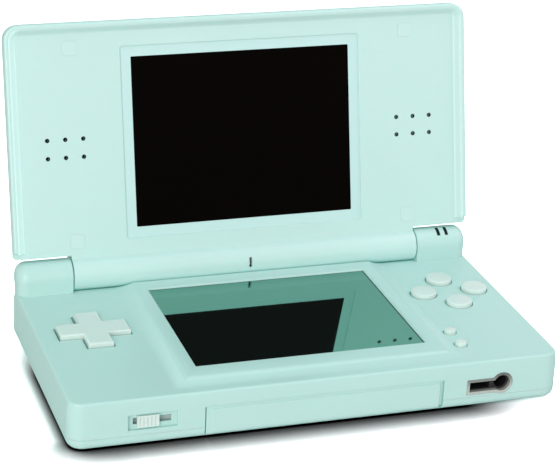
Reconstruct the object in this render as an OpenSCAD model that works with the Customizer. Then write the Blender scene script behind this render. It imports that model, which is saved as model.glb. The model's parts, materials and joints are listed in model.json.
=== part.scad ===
// Clamshell handheld game console, lid open.
// Origin: centre of the flat underside. +X right, +Y towards the hinge, +Z up.
// The lid pieces are drawn closed and then swung open about the hinge axis.

/* [Case] */
// Width of the case
case_w = 133; // [131:0.5:138]
// Depth of the closed case, from the front face to the back of the hinge
case_d = 73.9; // [73.4:0.1:76]
// Height of the flat side faces of the base
base_h = 13; // [12.9:0.1:14]
// Thickness of the shell walls
wall = 1.4; // [1.3:0.05:1.5]
// Thickness of the top wall of the base at its side faces
roof_t = 1.3; // [1.1:0.1:1.4]
// Height of the parting line between the two base shells
parting_h = 3; // [2.6:0.1:3.4]
// Plan radius of the front corners of base and lid
corner_r = 4.2; // [3.4:0.1:5]
// Plan radius of the rear corners of the base
rear_r = 5; // [4:0.1:5.4]
// Radius of the edge round the underside
foot_edge = 2.2; // [1.6:0.1:2.4]
// Radius of the edge round the side faces
top_edge = 0.6; // [0.4:0.1:0.8]
// Inward lean of the side faces near their top
lean = 0.35; // [0.2:0.05:0.4]

/* [Touch screen] */
// Width of the visible touch screen
touch_w = 63; // [58:0.2:63.4]
// Depth of the visible touch screen, front to back
touch_d = 48; // [44:0.2:48.4]
// Distance of its front edge from the front face
touch_front = 12.25; // [12:0.05:13.2]
// Shift of the screen and its raised panel to the right
touch_shift = 0.8; // [0:0.05:1]
// Height of the raised panel above the side faces
panel_rise = 1.6; // [1.3:0.1:1.6]
// Drop from the raised panel to the touch screen
touch_drop = 0.7; // [0.5:0.05:0.8]
// Width of the bevel round the touch screen
touch_bevel = 0.9; // [0.7:0.1:1.4]
// Flat border of the raised panel beside the screen
panel_border = 3.3; // [3:0.1:3.8]
// Width of the hollow slope down from the sides of the raised panel
panel_slope = 6; // [5:0.1:6.4]

/* [Lid and hinge] */
// Opening angle of the lid as it stands, from closed
lid_open = 103.2; // [90:0.1:120]
// Radius of the hinge barrel and of the knuckles
barrel_r = 4.6; // [4.4:0.05:4.8]
// Length of each knuckle
knuckle_len = 15.3; // [14.5:0.1:16]
// Height of the hinge axis above the side faces
axis_rise = 3.85; // [3.7:0.05:4]
// Running gap between the barrel and the base
hinge_gap = 0.4; // [0.35:0.05:0.5]
// Height of the lid's inner face above the side faces, closed
lid_gap = 1.95; // [1.9:0.05:2.1]
// Width of the raised rim round the lid's inner face
rim_w = 1.5; // [1.3:0.1:1.8]
// Height of that rim
rim_h = 1.6; // [1.3:0.1:1.6]
// Radius of the lid's outer edge
lid_edge = 5; // [4:0.1:5]
// Distance from the hinge axis to the lid's lower edge
lid_start = 5.35; // [5.2:0.05:5.6]
// Thickness of the lid's inner frame
frame_t = 2.2; // [2:0.1:2.3]

/* [Upper screen and speakers] */
// Width of the upper screen opening
upper_w = 63; // [58:0.2:63.4]
// Height of the upper screen opening
upper_h = 47.2; // [44:0.2:47.6]
// Distance from the hinge axis to the lower edge of the opening
upper_start = 11.9; // [11.8:0.05:12.2]
// Border of the window beyond the opening
window_border = 3; // [2.6:0.1:3.2]
// Depth of the window below the lid's inner face
window_drop = 0.4; // [0.3:0.05:0.5]
// Distance of the speaker centres from the side of the lid
speaker_side = 15.8; // [15:0.1:17]
// Distance from the hinge axis to the speaker centres
speaker_up = 35.05; // [32:0.1:38]
// Pitch of the speaker holes
speaker_pitch = 5; // [4.6:0.1:5.4]
// Diameter of a speaker hole
speaker_hole = 1.2; // [0.9:0.1:1.3]
// Diameter of a speaker
speaker_d = 15; // [14:0.2:15.6]

/* [Buttons] */
// Distance of the directional pad's centre from the left side
dpad_side = 15.5; // [15:0.1:16]
// Distance of its centre from the front face
dpad_front = 40.25; // [39:0.05:42]
// Span of the pad from tip to tip
dpad_span = 19; // [18:0.1:19.4]
// Width of one arm
dpad_arm = 6.8; // [6.2:0.1:7.2]
// Distance of the action buttons' centre from the right side
action_side = 14.65; // [14.4:0.05:15.2]
// Distance of their centre from the front face
action_front = 43.3; // [42:0.05:45]
// Distance of each action button from that centre
action_offset = 7.6; // [7.4:0.1:8]
// Diameter of an action button
action_d = 7.2; // [6.6:0.1:7.4]
// Distance of the two menu buttons from the right side
menu_side = 24.4; // [24:0.1:25]
// Distance of the lower menu button from the front face
menu_front = 11.15; // [11:0.05:13]
// Distance between the two menu buttons
menu_pitch = 7.6; // [7:0.1:8]
// Diameter of a menu button
menu_d = 3.2; // [2.8:0.1:3.4]
// Height of the pad and the action buttons above the side faces
cap_rise = 1.3; // [1:0.1:1.3]
// Height of the menu buttons above the side faces
menu_rise = 1.2; // [0.8:0.1:1.3]
// Gap round a button cap
cap_gap = 0.25; // [0.2:0.05:0.3]
// Gap round the directional pad
dpad_gap = 0.45; // [0.4:0.05:0.5]

/* [Stylus and sliders] */
// Diameter of the stylus
stylus_d = 4.5; // [4:0.1:4.6]
// Length of the stylus
stylus_len = 87.5; // [80:0.5:90]
// Running clearance round the stylus
stylus_fit = 0.05; // [0.03:0.01:0.08]
// Width of the volume slider's knob
volume_w = 5.7; // [5:0.1:6]
// Height of the volume slider's knob
volume_h = 3.3; // [3:0.1:3.5]
// Width of the volume slider's recess
volume_slot_w = 12.8; // [12.4:0.1:13.4]
// Distance of that recess's centre from the left side
volume_side = 21.4; // [21:0.1:22]
// Length of the power slider's knob
power_w = 5; // [4.6:0.1:5.6]
// Travel of the power slider
power_travel = 2.5; // [2:0.1:2.8]

/* [Slots and sockets] */
// Width of the game card slot at the back
card_w = 34; // [33.4:0.1:35]
// Height of the game card slot
card_h = 4.3; // [4.2:0.05:4.4]
// Depth of the game card slot
card_d = 34; // [32:0.5:34.5]
// Distance of the cartridge slot's ends at the front from the sides
cover_side = 35; // [34.6:0.1:36]
// How much further that slot reaches on the right
cover_more = 1.9; // [0:0.1:2.2]
// Height of the top edge of that slot
cover_top = 8.8; // [8.4:0.1:9]
// Depth that the cover's insert reaches behind its face
insert_d = 24.5; // [20:0.5:25]
// Bore of the headphone jack
jack_bore = 3.6; // [3.5:0.05:3.8]
// Depth of the headphone jack's bore
jack_depth = 13; // [12:0.5:13.5]
// Distance of the jack's axis from the right side
jack_side = 16.7; // [16.2:0.1:17]
// Height of the jack's axis
jack_h = 6.3; // [6.2:0.05:6.4]
// Width of the power socket's opening
supply_w = 6.9; // [6.4:0.1:7.2]
// Distance of the power socket from the centre line
supply_x = 31; // [28:0.5:33]

/* [Hidden] */
$fn = 48;

// Colours
mint_face = "#b9dfd8";
mint_lid = "#c8e8e3";
mint_light = "#cfe6e1";
black = "#141414";
board_green = "#2f6b4a";
steel = "#b4b8ba";
rubber_grey = "#6d7274";
glass_teal = "#5f9b8d";

// Small gaps used everywhere
seat = 0.1;
slack = 0.3;
skin = 0.01;

// Case and hinge
half_w = case_w / 2;
half_d = case_d / 2;
hinge_y = half_d - barrel_r;
hinge_z = base_h + axis_rise;
knuckle_end = half_w - 0.5;
knuckle_x = knuckle_end - knuckle_len;
barrel_x = knuckle_x - hinge_gap;
pin_len = knuckle_len - 3.7;
lean_h = 2.8;
knuckle_round = 3;
skirt_tuck = 0.04;
fillet_sink = 0.04;
trough_r = barrel_r + hinge_gap;
barrel_bore = barrel_r - 1;
pin_r = 2.3;
pin_fit = 0.06;

// Heights inside the base
floor_z = wall;
roof_z = base_h - roof_t;
panel_z = base_h + panel_rise;
touch_z = panel_z - touch_drop;
touch_t = 1.1;
reader_z = floor_z + seat;
reader_wall = 0.3;
reader_top = reader_z + 2 * reader_wall + card_h;
board_t = 1;
board_z = reader_top + 0.6;
board_top = board_z + board_t;
lcd_t = 2.6;
lcd_z = touch_z - touch_t - 0.2 - lcd_t;

// Touch screen
touch_y0 = -half_d + touch_front;
touch_yc = touch_y0 + touch_d / 2;
glass_margin = 1.3;
bracket_wall = 0.5;
panel_x = touch_w / 2 + panel_border;
panel_y0 = touch_y0 - 5.5;
panel_front_slope = 4.8;

// Outline of the main board
board_x = half_w - 5.5;
board_y0 = -half_d + 8.6;
sleeve_r = stylus_d / 2 + stylus_fit + 0.25;
stylus_z = reader_top + seat + sleeve_r;
stylus_y = hinge_y - 4.7;
stylus_end = half_w - 0.15;
board_y1 = stylus_y - sleeve_r - 0.5;

// Front slot
cover_w = case_w - 2 * cover_side;
cover_fit = 0.06;
cover_end = 0.35;
cover_grip = 1.2;
cover_border = 1.6;
cover_proud = 0.25;
cover_bottom = 0.9;
insert_w = cover_w - 7.4;
insert_z0 = floor_z + 0.7;
insert_z1 = board_z - 0.7;
insert_back = -half_d + wall + insert_d;

// Volume slider
volume_x = -half_w + volume_side;
volume_z = 6.6;
volume_rest = -1.2;
volume_reach = (volume_slot_w - volume_w) / 2 - 0.3;
recess_depth = 0.9;

// Power slider
power_y = -half_d + 22;
power_z = 6.6;
power_slot_l = power_w + power_travel + 1.2;
power_h = 3;

// Headphone and accessory port
jack_x = half_w - jack_side;
jack_rim_r = 3;
port_x0 = jack_x - 9.9;
port_h = 4.3;
port_z = 5.85;
port_rim = 0.75;
port_depth = 6.5;
jack_half = 3.9;

// Battery bay
bay_x0 = -half_w + 4.5;
bay_w = -card_w / 2 - 5 - bay_x0;
bay_y0 = insert_back + 5.6;
bay_d = 30.5;
bay_x = bay_x0 + bay_w / 2;
bay_y = bay_y0 + bay_d / 2;
ledge = 0.8;
cover_t = 0.75;
tab_r = 3;
tab_y = bay_y0 - 2.2;

// Buttons
dpad_x = -half_w + dpad_side;
dpad_y = -half_d + dpad_front;
dpad_flange_r = 8.6;
dpad_pocket_r = 9.8;
dpad_pocket_z = roof_z + 0.4;
dpad_pivot_z = board_top + 1.9;
action_x = half_w - action_side;
action_y = -half_d + action_front;
action_places = [[action_x + action_offset, action_y], [action_x, action_y - action_offset],
  [action_x, action_y + action_offset], [action_x - action_offset, action_y]];
menu_x = half_w - menu_side;
menu_places = [for (i = [0, 1]) [menu_x, -half_d + menu_front + i * menu_pitch]];
flange_t = 1;
flange_z = roof_z - slack - flange_t;
dome_z = board_top + 1.5;
sheet_t = 0.4;

// Shoulder buttons
shoulder_x0 = half_w - 18.6;
shoulder_y0 = hinge_y - 0.05;
shoulder_z0 = parting_h + 1.2;
shoulder_z1 = base_h - 1.9;
shoulder_t = 2.2;
shoulder_pivot = [half_w - 16.8, half_d - 3.05];
shoulder_pin_r = 0.9;
shoulder_gap = 0.3;
shoulder_swing = 1;

// Screws of the base: x, y
post_r = 2.6;
screw_r = 1;
screw_hole_r = 1.05;
head_r = 1.9;
head_z = 0.4;
head_t = 1.2;
front_post_y = -half_d + 5.6;
cover_post_x = cover_w / 2 + 3.2;
posts = [[-half_w + 6, front_post_y], [half_w - 6, front_post_y], [-cover_post_x, front_post_y],
  [cover_post_x, front_post_y], [-half_w + 6, bay_y0 + bay_d + post_r + 0.3],
  [half_w - 5, stylus_y - sleeve_r - post_r - 2.1]];
post_meet = 5.4;
supports = [[-34, board_y0 + 7], [34, board_y0 + 7], [card_w / 2 + 5.4, 4],
  [-card_w / 2 - 3.2, 18], [card_w / 2 + 5.4, 18]];
pads = [for (x = [-1, 1]) each [[x * (half_w - 9), -half_d + 12], [x * (half_w - 22), half_d - 7.5]]];

// Lid, drawn closed
inner_z = base_h + lid_gap;
rim_z = inner_z - rim_h;
lid_top = hinge_z + barrel_r;
lid_rear = hinge_y - lid_start;
lid_round_z = lid_top - lid_edge;
frame_back = inner_z + frame_t;
upper_y = hinge_y - upper_start - upper_h / 2;
window_t = 0.8;
upper_lcd_t = 2.2;
speaker_x = half_w - speaker_side;
speaker_y = hinge_y - speaker_up;
lid_screw_places = [for (x = [-1, 1], y = [hinge_y - 62.3, hinge_y - 9.2]) [x * (half_w - 18), y]];
lid_pad = 3.8;
lid_head_r = 1.4;
lid_head_z = inner_z + 1;

// ---------- shared shapes ----------

// Flat rectangle between two corners
module span(x0, y0, x1, y1) {
  translate([x0, y0]) square([x1 - x0, y1 - y0]);
}

// Box between two corners
module block(a, b) {
  translate(a) cube([b[0] - a[0], b[1] - a[1], b[2] - a[2]]);
}

// Rectangle with round corners, centred
module rounded(w, d, r) {
  span(-w / 2 + r, -d / 2, w / 2 - r, d / 2);
  span(-w / 2, -d / 2 + r, w / 2, d / 2 - r);
  for (x = [-1, 1], y = [-1, 1])
    translate([x * (w / 2 - r), y * (d / 2 - r)]) circle(r);
}

// Case outline with its own front and rear corner radii and rear edge, drawn in by g
module outline(g, rear_y, rear_round) {
  w = half_w - g;
  f = max(corner_r - g, 0.6);
  b = max(rear_round - g, 0.4);
  y0 = -half_d + g;
  span(-w, y0 + f, w, rear_y - b);
  span(-w + f, y0, w - f, 0);
  span(-w + b, 0, w - b, rear_y);
  for (s = [-1, 1]) {
    translate([s * (w - f), y0 + f]) circle(f);
    translate([s * (w - b), rear_y - b]) circle(b);
  }
}

// Plan of the base drawn in by g
module base_plan(g = 0) {
  outline(g, half_d - g, rear_r);
}

// Plan of the lid drawn in by g at the front and sides and by r at the rear
module lid_plan(g = 0, r = 0) {
  outline(g, lid_rear - r, 1);
}

// Thin slice of a plan at height z
module slice(z) {
  translate([0, 0, z]) linear_extrude(skin) children();
}

// Cylinder along X between two places, centred on the hinge axis
module on_axis(x0, x1, r) {
  translate([x0, hinge_y, hinge_z]) rotate([0, 90, 0]) cylinder(h = x1 - x0, r = r);
}

// Upright cylinder at a place
module post(p, z0, z1, r) {
  translate([p[0], p[1], z0]) cylinder(h = z1 - z0, r = r);
}

// Swings what is drawn closed to the opening angle
module swung() {
  translate([0, hinge_y, hinge_z]) rotate([-lid_open, 0, 0])
    translate([0, -hinge_y, -hinge_z]) children();
}

// ---------- openings cut through both base shells ----------

// Room for the cover at the front
module cover_opening() {
  x = cover_w / 2;
  block([-x, -half_d - 1, cover_bottom - 0.1], [x + cover_more, -half_d + wall + 0.05, cover_top]);
  block([-insert_w / 2 - cover_fit - 0.3, -half_d, insert_z0 - 0.3],
    [insert_w / 2 + cover_fit + 0.3, -half_d + 2 * wall, cover_top - 1]);
}

// Mouth of the game card slot
module card_opening() {
  z0 = reader_z + reader_wall;
  block([-card_w / 2, half_d - 2 * wall, z0], [card_w / 2, half_d + 1, z0 + card_h]);
}

// Mouth of the power socket
module supply_opening() {
  block([supply_x - supply_w / 2 - 0.3, half_d - 2 * wall, 2.6],
    [supply_x + supply_w / 2 + 0.3, half_d + 1, 5.7]);
}

// Room behind one shoulder button, on the right
module shoulder_opening() {
  block([shoulder_x0 - shoulder_gap, shoulder_y0 - shoulder_swing, shoulder_z0 - shoulder_gap],
    [half_w + 1, half_d + 1, shoulder_z1 + shoulder_gap]);
}

// ---------- base shells ----------

module bottom_shell() {
  color(mint_face) difference() {
    union() {
      difference() {
        hull() {
          for (a = [0:18:72])
            slice(foot_edge * (1 - cos(a))) base_plan(foot_edge * (1 - sin(a)));
          translate([0, 0, foot_edge]) linear_extrude(parting_h - foot_edge) base_plan();
        }
        translate([0, 0, floor_z]) linear_extrude(parting_h) base_plan(wall);
      }
      for (p = posts) post(p, floor_z - 0.2, post_meet, post_r);
      for (p = supports) post(p, floor_z - 0.2, board_z, 1.3);
      post([bay_x, tab_y], floor_z - 0.2, 5.5, 2.2);
      bay_walls();
      insert_guides();
      pedestals();
    }
    bay_opening();
    post([bay_x, tab_y], -1, 5.2, screw_hole_r);
    for (p = posts) {
      post(p, -1, 10, screw_hole_r);
      post(p, -1, head_z + head_t + 0.05, head_r + 0.2);
    }
    for (p = pads) post(p, -1, 0.6, 2.6);
    cover_opening();
    card_opening();
    supply_opening();
    for (s = [0, 1]) mirror([s, 0, 0]) shoulder_opening();
  }
}

// Low walls round the battery
module bay_walls() {
  translate([bay_x, bay_y, floor_z - 0.2]) linear_extrude(board_z - floor_z - 1) difference() {
    square([bay_w + 1.6, bay_d + 1.6], center = true);
    square([bay_w - 0.2, bay_d - 0.2], center = true);
  }
}

// Stepped opening in the floor for the battery cover and its tab
module bay_opening() {
  translate([bay_x, bay_y, -1]) {
    linear_extrude(1 + ledge) square([bay_w, bay_d], center = true);
    linear_extrude(1 + floor_z + 1) square([bay_w - 2 * ledge, bay_d - 2 * ledge], center = true);
  }
  translate([0, 0, -1]) linear_extrude(1 + ledge) translate([bay_x, tab_y]) {
    circle(tab_r + 0.2);
    span(-tab_r - 0.2, 0, tab_r + 0.2, 3);
  }
}

// Ribs that guide the cover's insert
module insert_guides() {
  x = insert_w / 2 + cover_fit + 0.3;
  for (s = [0, 1]) mirror([s, 0, 0])
    block([x, -half_d + wall + 0.3, floor_z - 0.2], [x + 1, insert_back, insert_z1]);
}

// Blocks that carry the parts beside the board
module pedestals() {
  z = floor_z - 0.2;
  block([volume_x - 6, -half_d + wall + 1.4, z], [volume_x + 6, -half_d + 7.6, volume_z - 2.3]);
  block([half_w - 4.9, power_y - 4.5, z], [half_w - 2.3, power_y + 5.5, power_z - 2]);
  for (s = [0, 1]) mirror([s, 0, 0]) {
    block([half_w - 8.5, half_d - 5.8, z], [half_w - 4.5, half_d - 3.6, shoulder_z0 + 1.2]);
    post(shoulder_pivot, z, parting_h, 1.6);
  }
  block([jack_x - 3, -half_d + wall + 4, z], [jack_x + 3, -half_d + 12, jack_h - 3.3]);
}

module face_shell() {
  color(mint_face) difference() {
    union() {
      difference() {
        hull() {
          translate([0, 0, parting_h]) linear_extrude(base_h - lean_h - parting_h) base_plan();
          for (a = [0:30:90])
            slice(base_h - top_edge * (1 - sin(a)) - skin) base_plan(lean + top_edge * (1 - cos(a)));
        }
        translate([0, 0, parting_h - 1]) linear_extrude(roof_z - parting_h + 1) base_plan(wall);
      }
      raised_panel();
      for (s = [0, 1]) mirror([s, 0, 0]) knuckle();
      trough_floor();
      for (p = posts) post(p, post_meet, roof_z + 0.2, post_r - 0.4);
    }
    trough_cut();
    screen_cut();
    button_cuts();
    volume_cut();
    power_cut();
    port_cut();
    for (p = posts) post(p, post_meet - 1, 11.2, screw_hole_r);
    translate([0, stylus_y, stylus_z]) rotate([0, 90, 0]) cylinder(h = half_w + 1, r = stylus_d / 2 + 0.15);
    cover_opening();
    card_opening();
    supply_opening();
    for (s = [0, 1]) mirror([s, 0, 0]) shoulder_opening();
    for (s = [-1, 1]) hinge_socket(s);
    indicator_slots(0);
    strap_hole();
  }
}

// Round cut that hollows a slope of the raised panel over the given run
module hollow(run) {
  r = (run * run + panel_rise * panel_rise) / (2 * panel_rise);
  translate([0, base_h + r - fillet_sink]) circle(r);
}

// Raised panel with hollow slopes round the touch screen
module raised_panel() {
  y0 = panel_y0 - panel_front_slope;
  translate([touch_shift, 0, 0]) intersection() {
    translate([0, hinge_y, 0]) rotate([90, 0, 0]) linear_extrude(hinge_y - y0) difference() {
      span(-panel_x - panel_slope, base_h - 0.2, panel_x + panel_slope, panel_z);
      for (x = [-1, 1]) translate([x * (panel_x + panel_slope), 0]) hollow(panel_slope);
    }
    rotate([90, 0, 90]) linear_extrude(2 * (panel_x + panel_slope), center = true) difference() {
      span(y0, base_h - 0.2, hinge_y, panel_z);
      translate([y0, 0]) hollow(panel_front_slope);
    }
  }
}

// Right-hand knuckle that carries the end of the hinge
module knuckle() {
  r = knuckle_round;
  translate([knuckle_x, hinge_y, hinge_z]) rotate([0, 90, 0]) rotate_extrude() {
    l = knuckle_end - knuckle_x;
    span(0, 0, barrel_r, l - r);
    span(0, 0, barrel_r - r, l);
    translate([barrel_r - r, l - r]) intersection() {
      circle(r);
      square(r);
    }
  }
  y = hinge_y - barrel_r;
  translate([0, 0, roof_z]) linear_extrude(hinge_z - roof_z) intersection() {
    base_plan(lean + 0.02);
    union() {
      span(knuckle_x, y + skirt_tuck, knuckle_end - r, half_d);
      span(knuckle_x, y + r, knuckle_end - skirt_tuck, half_d);
      translate([knuckle_end - r, y + r]) circle(r - skirt_tuck);
    }
  }
}

// Thicker wall under the barrel
module trough_floor() {
  intersection() {
    on_axis(-knuckle_x, knuckle_x, trough_r + 1);
    block([-knuckle_x, stylus_y + sleeve_r + 0.05, roof_z - 1.2], [knuckle_x, half_d - lean - 0.15, base_h - 0.1]);
  }
}

// Clears the barrel
module trough_cut() {
  on_axis(-knuckle_x, knuckle_x, trough_r);
}

// Opening with its bevel, and the pocket that holds the touch panel
module screen_cut() {
  translate([touch_shift, touch_yc, 0]) {
    hull() {
      translate([0, 0, touch_z + 0.1]) linear_extrude(skin) square([touch_w, touch_d], center = true);
      translate([0, 0, panel_z + 0.02]) linear_extrude(skin)
        square([touch_w + 2 * touch_bevel, touch_d + 2 * touch_bevel], center = true);
    }
    translate([0, 0, parting_h]) linear_extrude(panel_z - parting_h) square([touch_w, touch_d], center = true);
    translate([0, 0, parting_h]) linear_extrude(touch_z - parting_h)
      square([touch_w + 2 * glass_margin + 0.3, touch_d + 2 * glass_margin + 0.3], center = true);
  }
  w = touch_w / 2 + glass_margin + bracket_wall + 0.4;
  d = touch_d / 2 + glass_margin + bracket_wall + 0.4;
  block([touch_shift - w, touch_yc - d, parting_h], [touch_shift + w, touch_yc + d, touch_z - touch_t]);
}

// Holes for the pad and the buttons
module button_cuts() {
  translate([dpad_x, dpad_y, roof_z - 1]) {
    linear_extrude(4) cross(dpad_span / 2 + dpad_gap, dpad_arm / 2 + dpad_gap);
    cylinder(h = dpad_pocket_z - roof_z + 1, r = dpad_pocket_r);
  }
  for (p = action_places) post(p, roof_z - 1, base_h + 1, action_d / 2 + cap_gap);
  for (p = menu_places) post(p, roof_z - 1, base_h + 1, menu_d / 2 + cap_gap);
}

// Plan of the directional pad
module cross(reach, half_arm) {
  span(-reach, -half_arm, reach, half_arm);
  span(-half_arm, -reach, half_arm, reach);
}

// Recess of the volume slider and the slit behind it
module volume_cut() {
  w = volume_slot_w / 2;
  h = volume_h / 2 + 0.5;
  block([volume_x - w, -half_d - 1, volume_z - h], [volume_x + w, -half_d + recess_depth, volume_z + h]);
  s = w - volume_w / 2 + 1.4;
  block([volume_x - s, -half_d, volume_z - 0.9], [volume_x + s, -half_d + 2 * wall, volume_z + 0.9]);
}

// Recess of the power slider and the slit behind it
module power_cut() {
  l = power_slot_l / 2;
  h = power_h / 2 + 0.5;
  block([half_w - recess_depth, power_y - l, power_z - h], [half_w + 1, power_y + l, power_z + h]);
  s = power_travel / 2 + 1.6;
  block([half_w - 2 * wall, power_y - s, power_z - 0.9], [half_w, power_y + s, power_z + 0.9]);
}

// Keyhole outline of the port, grown by g
module keyhole(g) {
  translate([jack_x, jack_h]) circle(jack_rim_r + g);
  span(port_x0 - g, port_z - port_h / 2 - g, jack_x, port_z + port_h / 2 + g);
}

// Turns an outline drawn in X and Z to stand in the front face
module standing(y, t) {
  translate([0, y + t, 0]) rotate([90, 0, 0]) linear_extrude(t) children();
}

module port_cut() {
  standing(-half_d - 1, wall + 2) keyhole(0.05);
}

// Socket in one knuckle for the end of the hinge
module hinge_socket(s) {
  depth = pin_len + 0.2;
  on_axis(s > 0 ? knuckle_x - 1 : -knuckle_x - depth, s > 0 ? knuckle_x + depth : -knuckle_x + 1, pin_r + pin_fit);
}

// Two slots over the top of the right knuckle, drawn in by g
module indicator_slots(g) {
  for (x = [half_w - 8.9, half_w - 6.5])
    translate([x, hinge_y, hinge_z]) rotate([-66, 0, 0])
      block([-0.5 + g, -barrel_r - 1, -1.6 + g], [0.5 - g, -pin_r - 0.7 - g, 1.6 - g]);
}

// Small window in the rear wall, with room for the strap post
module strap_hole() {
  block([-supply_x - 2.5, half_d - 2.4, 6.2], [-supply_x + 2.5, half_d + 1, 9.4]);
}

// ---------- parts of the base ----------

module battery_cover() {
  color(mint_face) difference() {
    union() {
      translate([bay_x, bay_y, ledge - cover_t]) linear_extrude(cover_t)
        square([bay_w - 0.4, bay_d - 0.4], center = true);
      translate([bay_x, bay_y, ledge - 0.1]) linear_extrude(floor_z - ledge + 0.1)
        square([bay_w - 2 * ledge - 0.4, bay_d - 2 * ledge - 0.4], center = true);
      translate([bay_x, tab_y, ledge - cover_t]) linear_extrude(cover_t) {
        circle(tab_r);
        span(-tab_r, 0, tab_r, 2.8);
      }
    }
    post([bay_x, tab_y], -1, 2, screw_r + 0.15);
    post([bay_x, tab_y], -1, 0.45, 1.9);
  }
}

module battery_cover_screw() {
  color(steel) difference() {
    union() {
      post([bay_x, tab_y], 0.1, 0.45, 1.7);
      post([bay_x, tab_y], 0.4, 5, screw_r);
    }
    cross_recess([bay_x, tab_y, 0.3], 1);
  }
}

// Cross-shaped driver recess in a screw head, opening downwards from z
module cross_recess(p, reach) {
  translate([p[0], p[1], p[2] - 2]) linear_extrude(2) cross(reach, 0.22);
}

module battery_pack() {
  color("#3d4245") translate([bay_x, bay_y, floor_z + seat])
    linear_extrude(board_z - floor_z - 2 * seat) rounded(bay_w - 2, bay_d - 2, 1.5);
}

module battery_terminal() {
  color(black) block([bay_x0 + bay_w + 1, bay_y - 4, floor_z + seat], [bay_x0 + bay_w + 2.9, bay_y + 4, board_z]);
}

module main_board() {
  color(board_green) difference() {
    block([-board_x, board_y0, board_z], [board_x, board_y1, board_top]);
    for (p = posts) post(p, board_z - 1, board_top + 1, post_r + slack);
    block([jack_x - jack_half - slack, board_y0 - 1, board_z - 1],
      [jack_x + jack_half + slack, -half_d + wall + jack_depth + 1.4, board_top + 1]);
    block([bay_x0 - 2, bay_y0 + bay_d - 0.5, board_z - 1], [bay_x0 + 4, board_y1 + 1, board_top + 1]);
  }
}

module board_chips() {
  x0 = card_w / 2 + 7;
  w = board_x - 11 - x0;
  color("#24282a") {
    block([x0, 0, board_z - 1.4], [x0 + 0.46 * w, 12, board_z]);
    block([x0 + 0.62 * w, 2, board_z - 1.1], [x0 + w, 10, board_z]);
    block([insert_w / 2 + 3, -16, board_z - 1], [insert_w / 2 + 10, -9, board_z]);
  }
}

module wireless_module() {
  color("#3b7f5b") block([board_x - 23, 13.5, board_z - 2.2], [board_x - 5, 23, board_z]);
}

module lower_lcd() {
  color(black) translate([touch_shift, touch_yc, lcd_z])
    linear_extrude(lcd_t) square([touch_w + 2 * glass_margin - 0.2, touch_d + 2 * glass_margin - 0.2], center = true);
}

module lower_lcd_bracket() {
  w = touch_w + 2 * glass_margin + 2 * bracket_wall;
  d = touch_d + 2 * glass_margin + 2 * bracket_wall;
  color(steel) translate([touch_shift, touch_yc, 0]) difference() {
    union() {
      translate([0, 0, lcd_z - bracket_wall]) linear_extrude(lcd_t + bracket_wall) square([w, d], center = true);
      for (x = [-1, 1], y = [-1, 1])
        translate([x * (w / 2 - 3), y * (d / 2 - 3), board_top]) cylinder(h = lcd_z - board_top, r = 1.5);
    }
    translate([0, 0, lcd_z]) linear_extrude(lcd_t + 1)
      square([w - 2 * bracket_wall, d - 2 * bracket_wall], center = true);
  }
}

module touch_panel() {
  color(glass_teal) translate([touch_shift, touch_yc, touch_z - touch_t])
    linear_extrude(touch_t) square([touch_w + 2 * glass_margin, touch_d + 2 * glass_margin], center = true);
}

module card_slot_reader() {
  w = card_w / 2;
  y1 = half_d - wall - seat;
  y0 = half_d - card_d;
  z0 = reader_z + reader_wall;
  color(steel) difference() {
    block([-w - 0.5, y0 - 1.5, reader_z], [w + 0.5, y1, reader_top]);
    block([-w, y0, z0], [w, y1 + 1, z0 + card_h]);
  }
}

module cartridge_connector() {
  color(black) difference() {
    block([-insert_w / 2, insert_back + 0.5, floor_z + seat], [insert_w / 2, insert_back + 4.5, board_z]);
    block([-insert_w / 2 + 2, insert_back, 3.2], [insert_w / 2 - 2, insert_back + 3, 4.8]);
  }
}

module headphone_jack() {
  y0 = -half_d + wall + 0.05;
  color(black) difference() {
    union() {
      block([jack_x - jack_half, y0, jack_h - 3.3], [jack_x + jack_half, y0 + jack_depth + 1, jack_h + 3.2]);
      block([port_x0 - 0.3, y0, jack_h - 3.3], [jack_x, y0 + port_depth, jack_h + 3.2]);
    }
    translate([jack_x, y0 - 1, jack_h]) rotate([-90, 0, 0]) cylinder(h = jack_depth + 1, r = jack_bore / 2);
    block([port_x0 + 1.4, y0 - 1, port_z - 1.2], [jack_x - 3, y0 + port_depth - 1, port_z + 1.2]);
  }
}

module port_surround() {
  color(steel) difference() {
    standing(-half_d, wall - 0.1) keyhole(0);
    standing(-half_d - 1, wall + 1) keyhole(-port_rim);
  }
}

module power_socket() {
  y1 = half_d - wall - seat;
  w = supply_w / 2;
  color(black) difference() {
    block([supply_x - w - 1, y1 - 9, floor_z + seat], [supply_x + w + 1, y1, reader_top - seat]);
    block([supply_x - w, y1 - 7, 2.9], [supply_x + w, y1 + 1, 5.4]);
    block([supply_x - w - 2, stylus_y - 8, 6.2], [supply_x + w + 2, y1 + 1, 9]);
  }
}

module volume_control() {
  y = -half_d + wall;
  color(black) block([volume_x - 6, y + 1.4, volume_z - 2.3], [volume_x + 6, y + 6, volume_z + 2.2]);
}

module power_switch() {
  color(black) block([half_w - 4.9, power_y - 4.5, power_z - 2], [half_w - 2.6, power_y + 5.5, power_z + 2]);
}

module shoulder_switches() {
  color(black) for (s = [0, 1]) mirror([s, 0, 0]) {
    block([half_w - 8.5, half_d - 5.8, shoulder_z0 + 1.2], [half_w - 4.5, half_d - 3.6, shoulder_z0 + 4.4]);
    translate([half_w - 6.5, half_d - 3.7, shoulder_z0 + 2.8]) rotate([-90, 0, 0]) cylinder(h = 0.5, r = 0.8);
  }
}

module shoulder_pins() {
  color(steel) for (s = [0, 1]) mirror([s, 0, 0]) post(shoulder_pivot, parting_h, shoulder_z1 + shoulder_gap, shoulder_pin_r);
}

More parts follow.
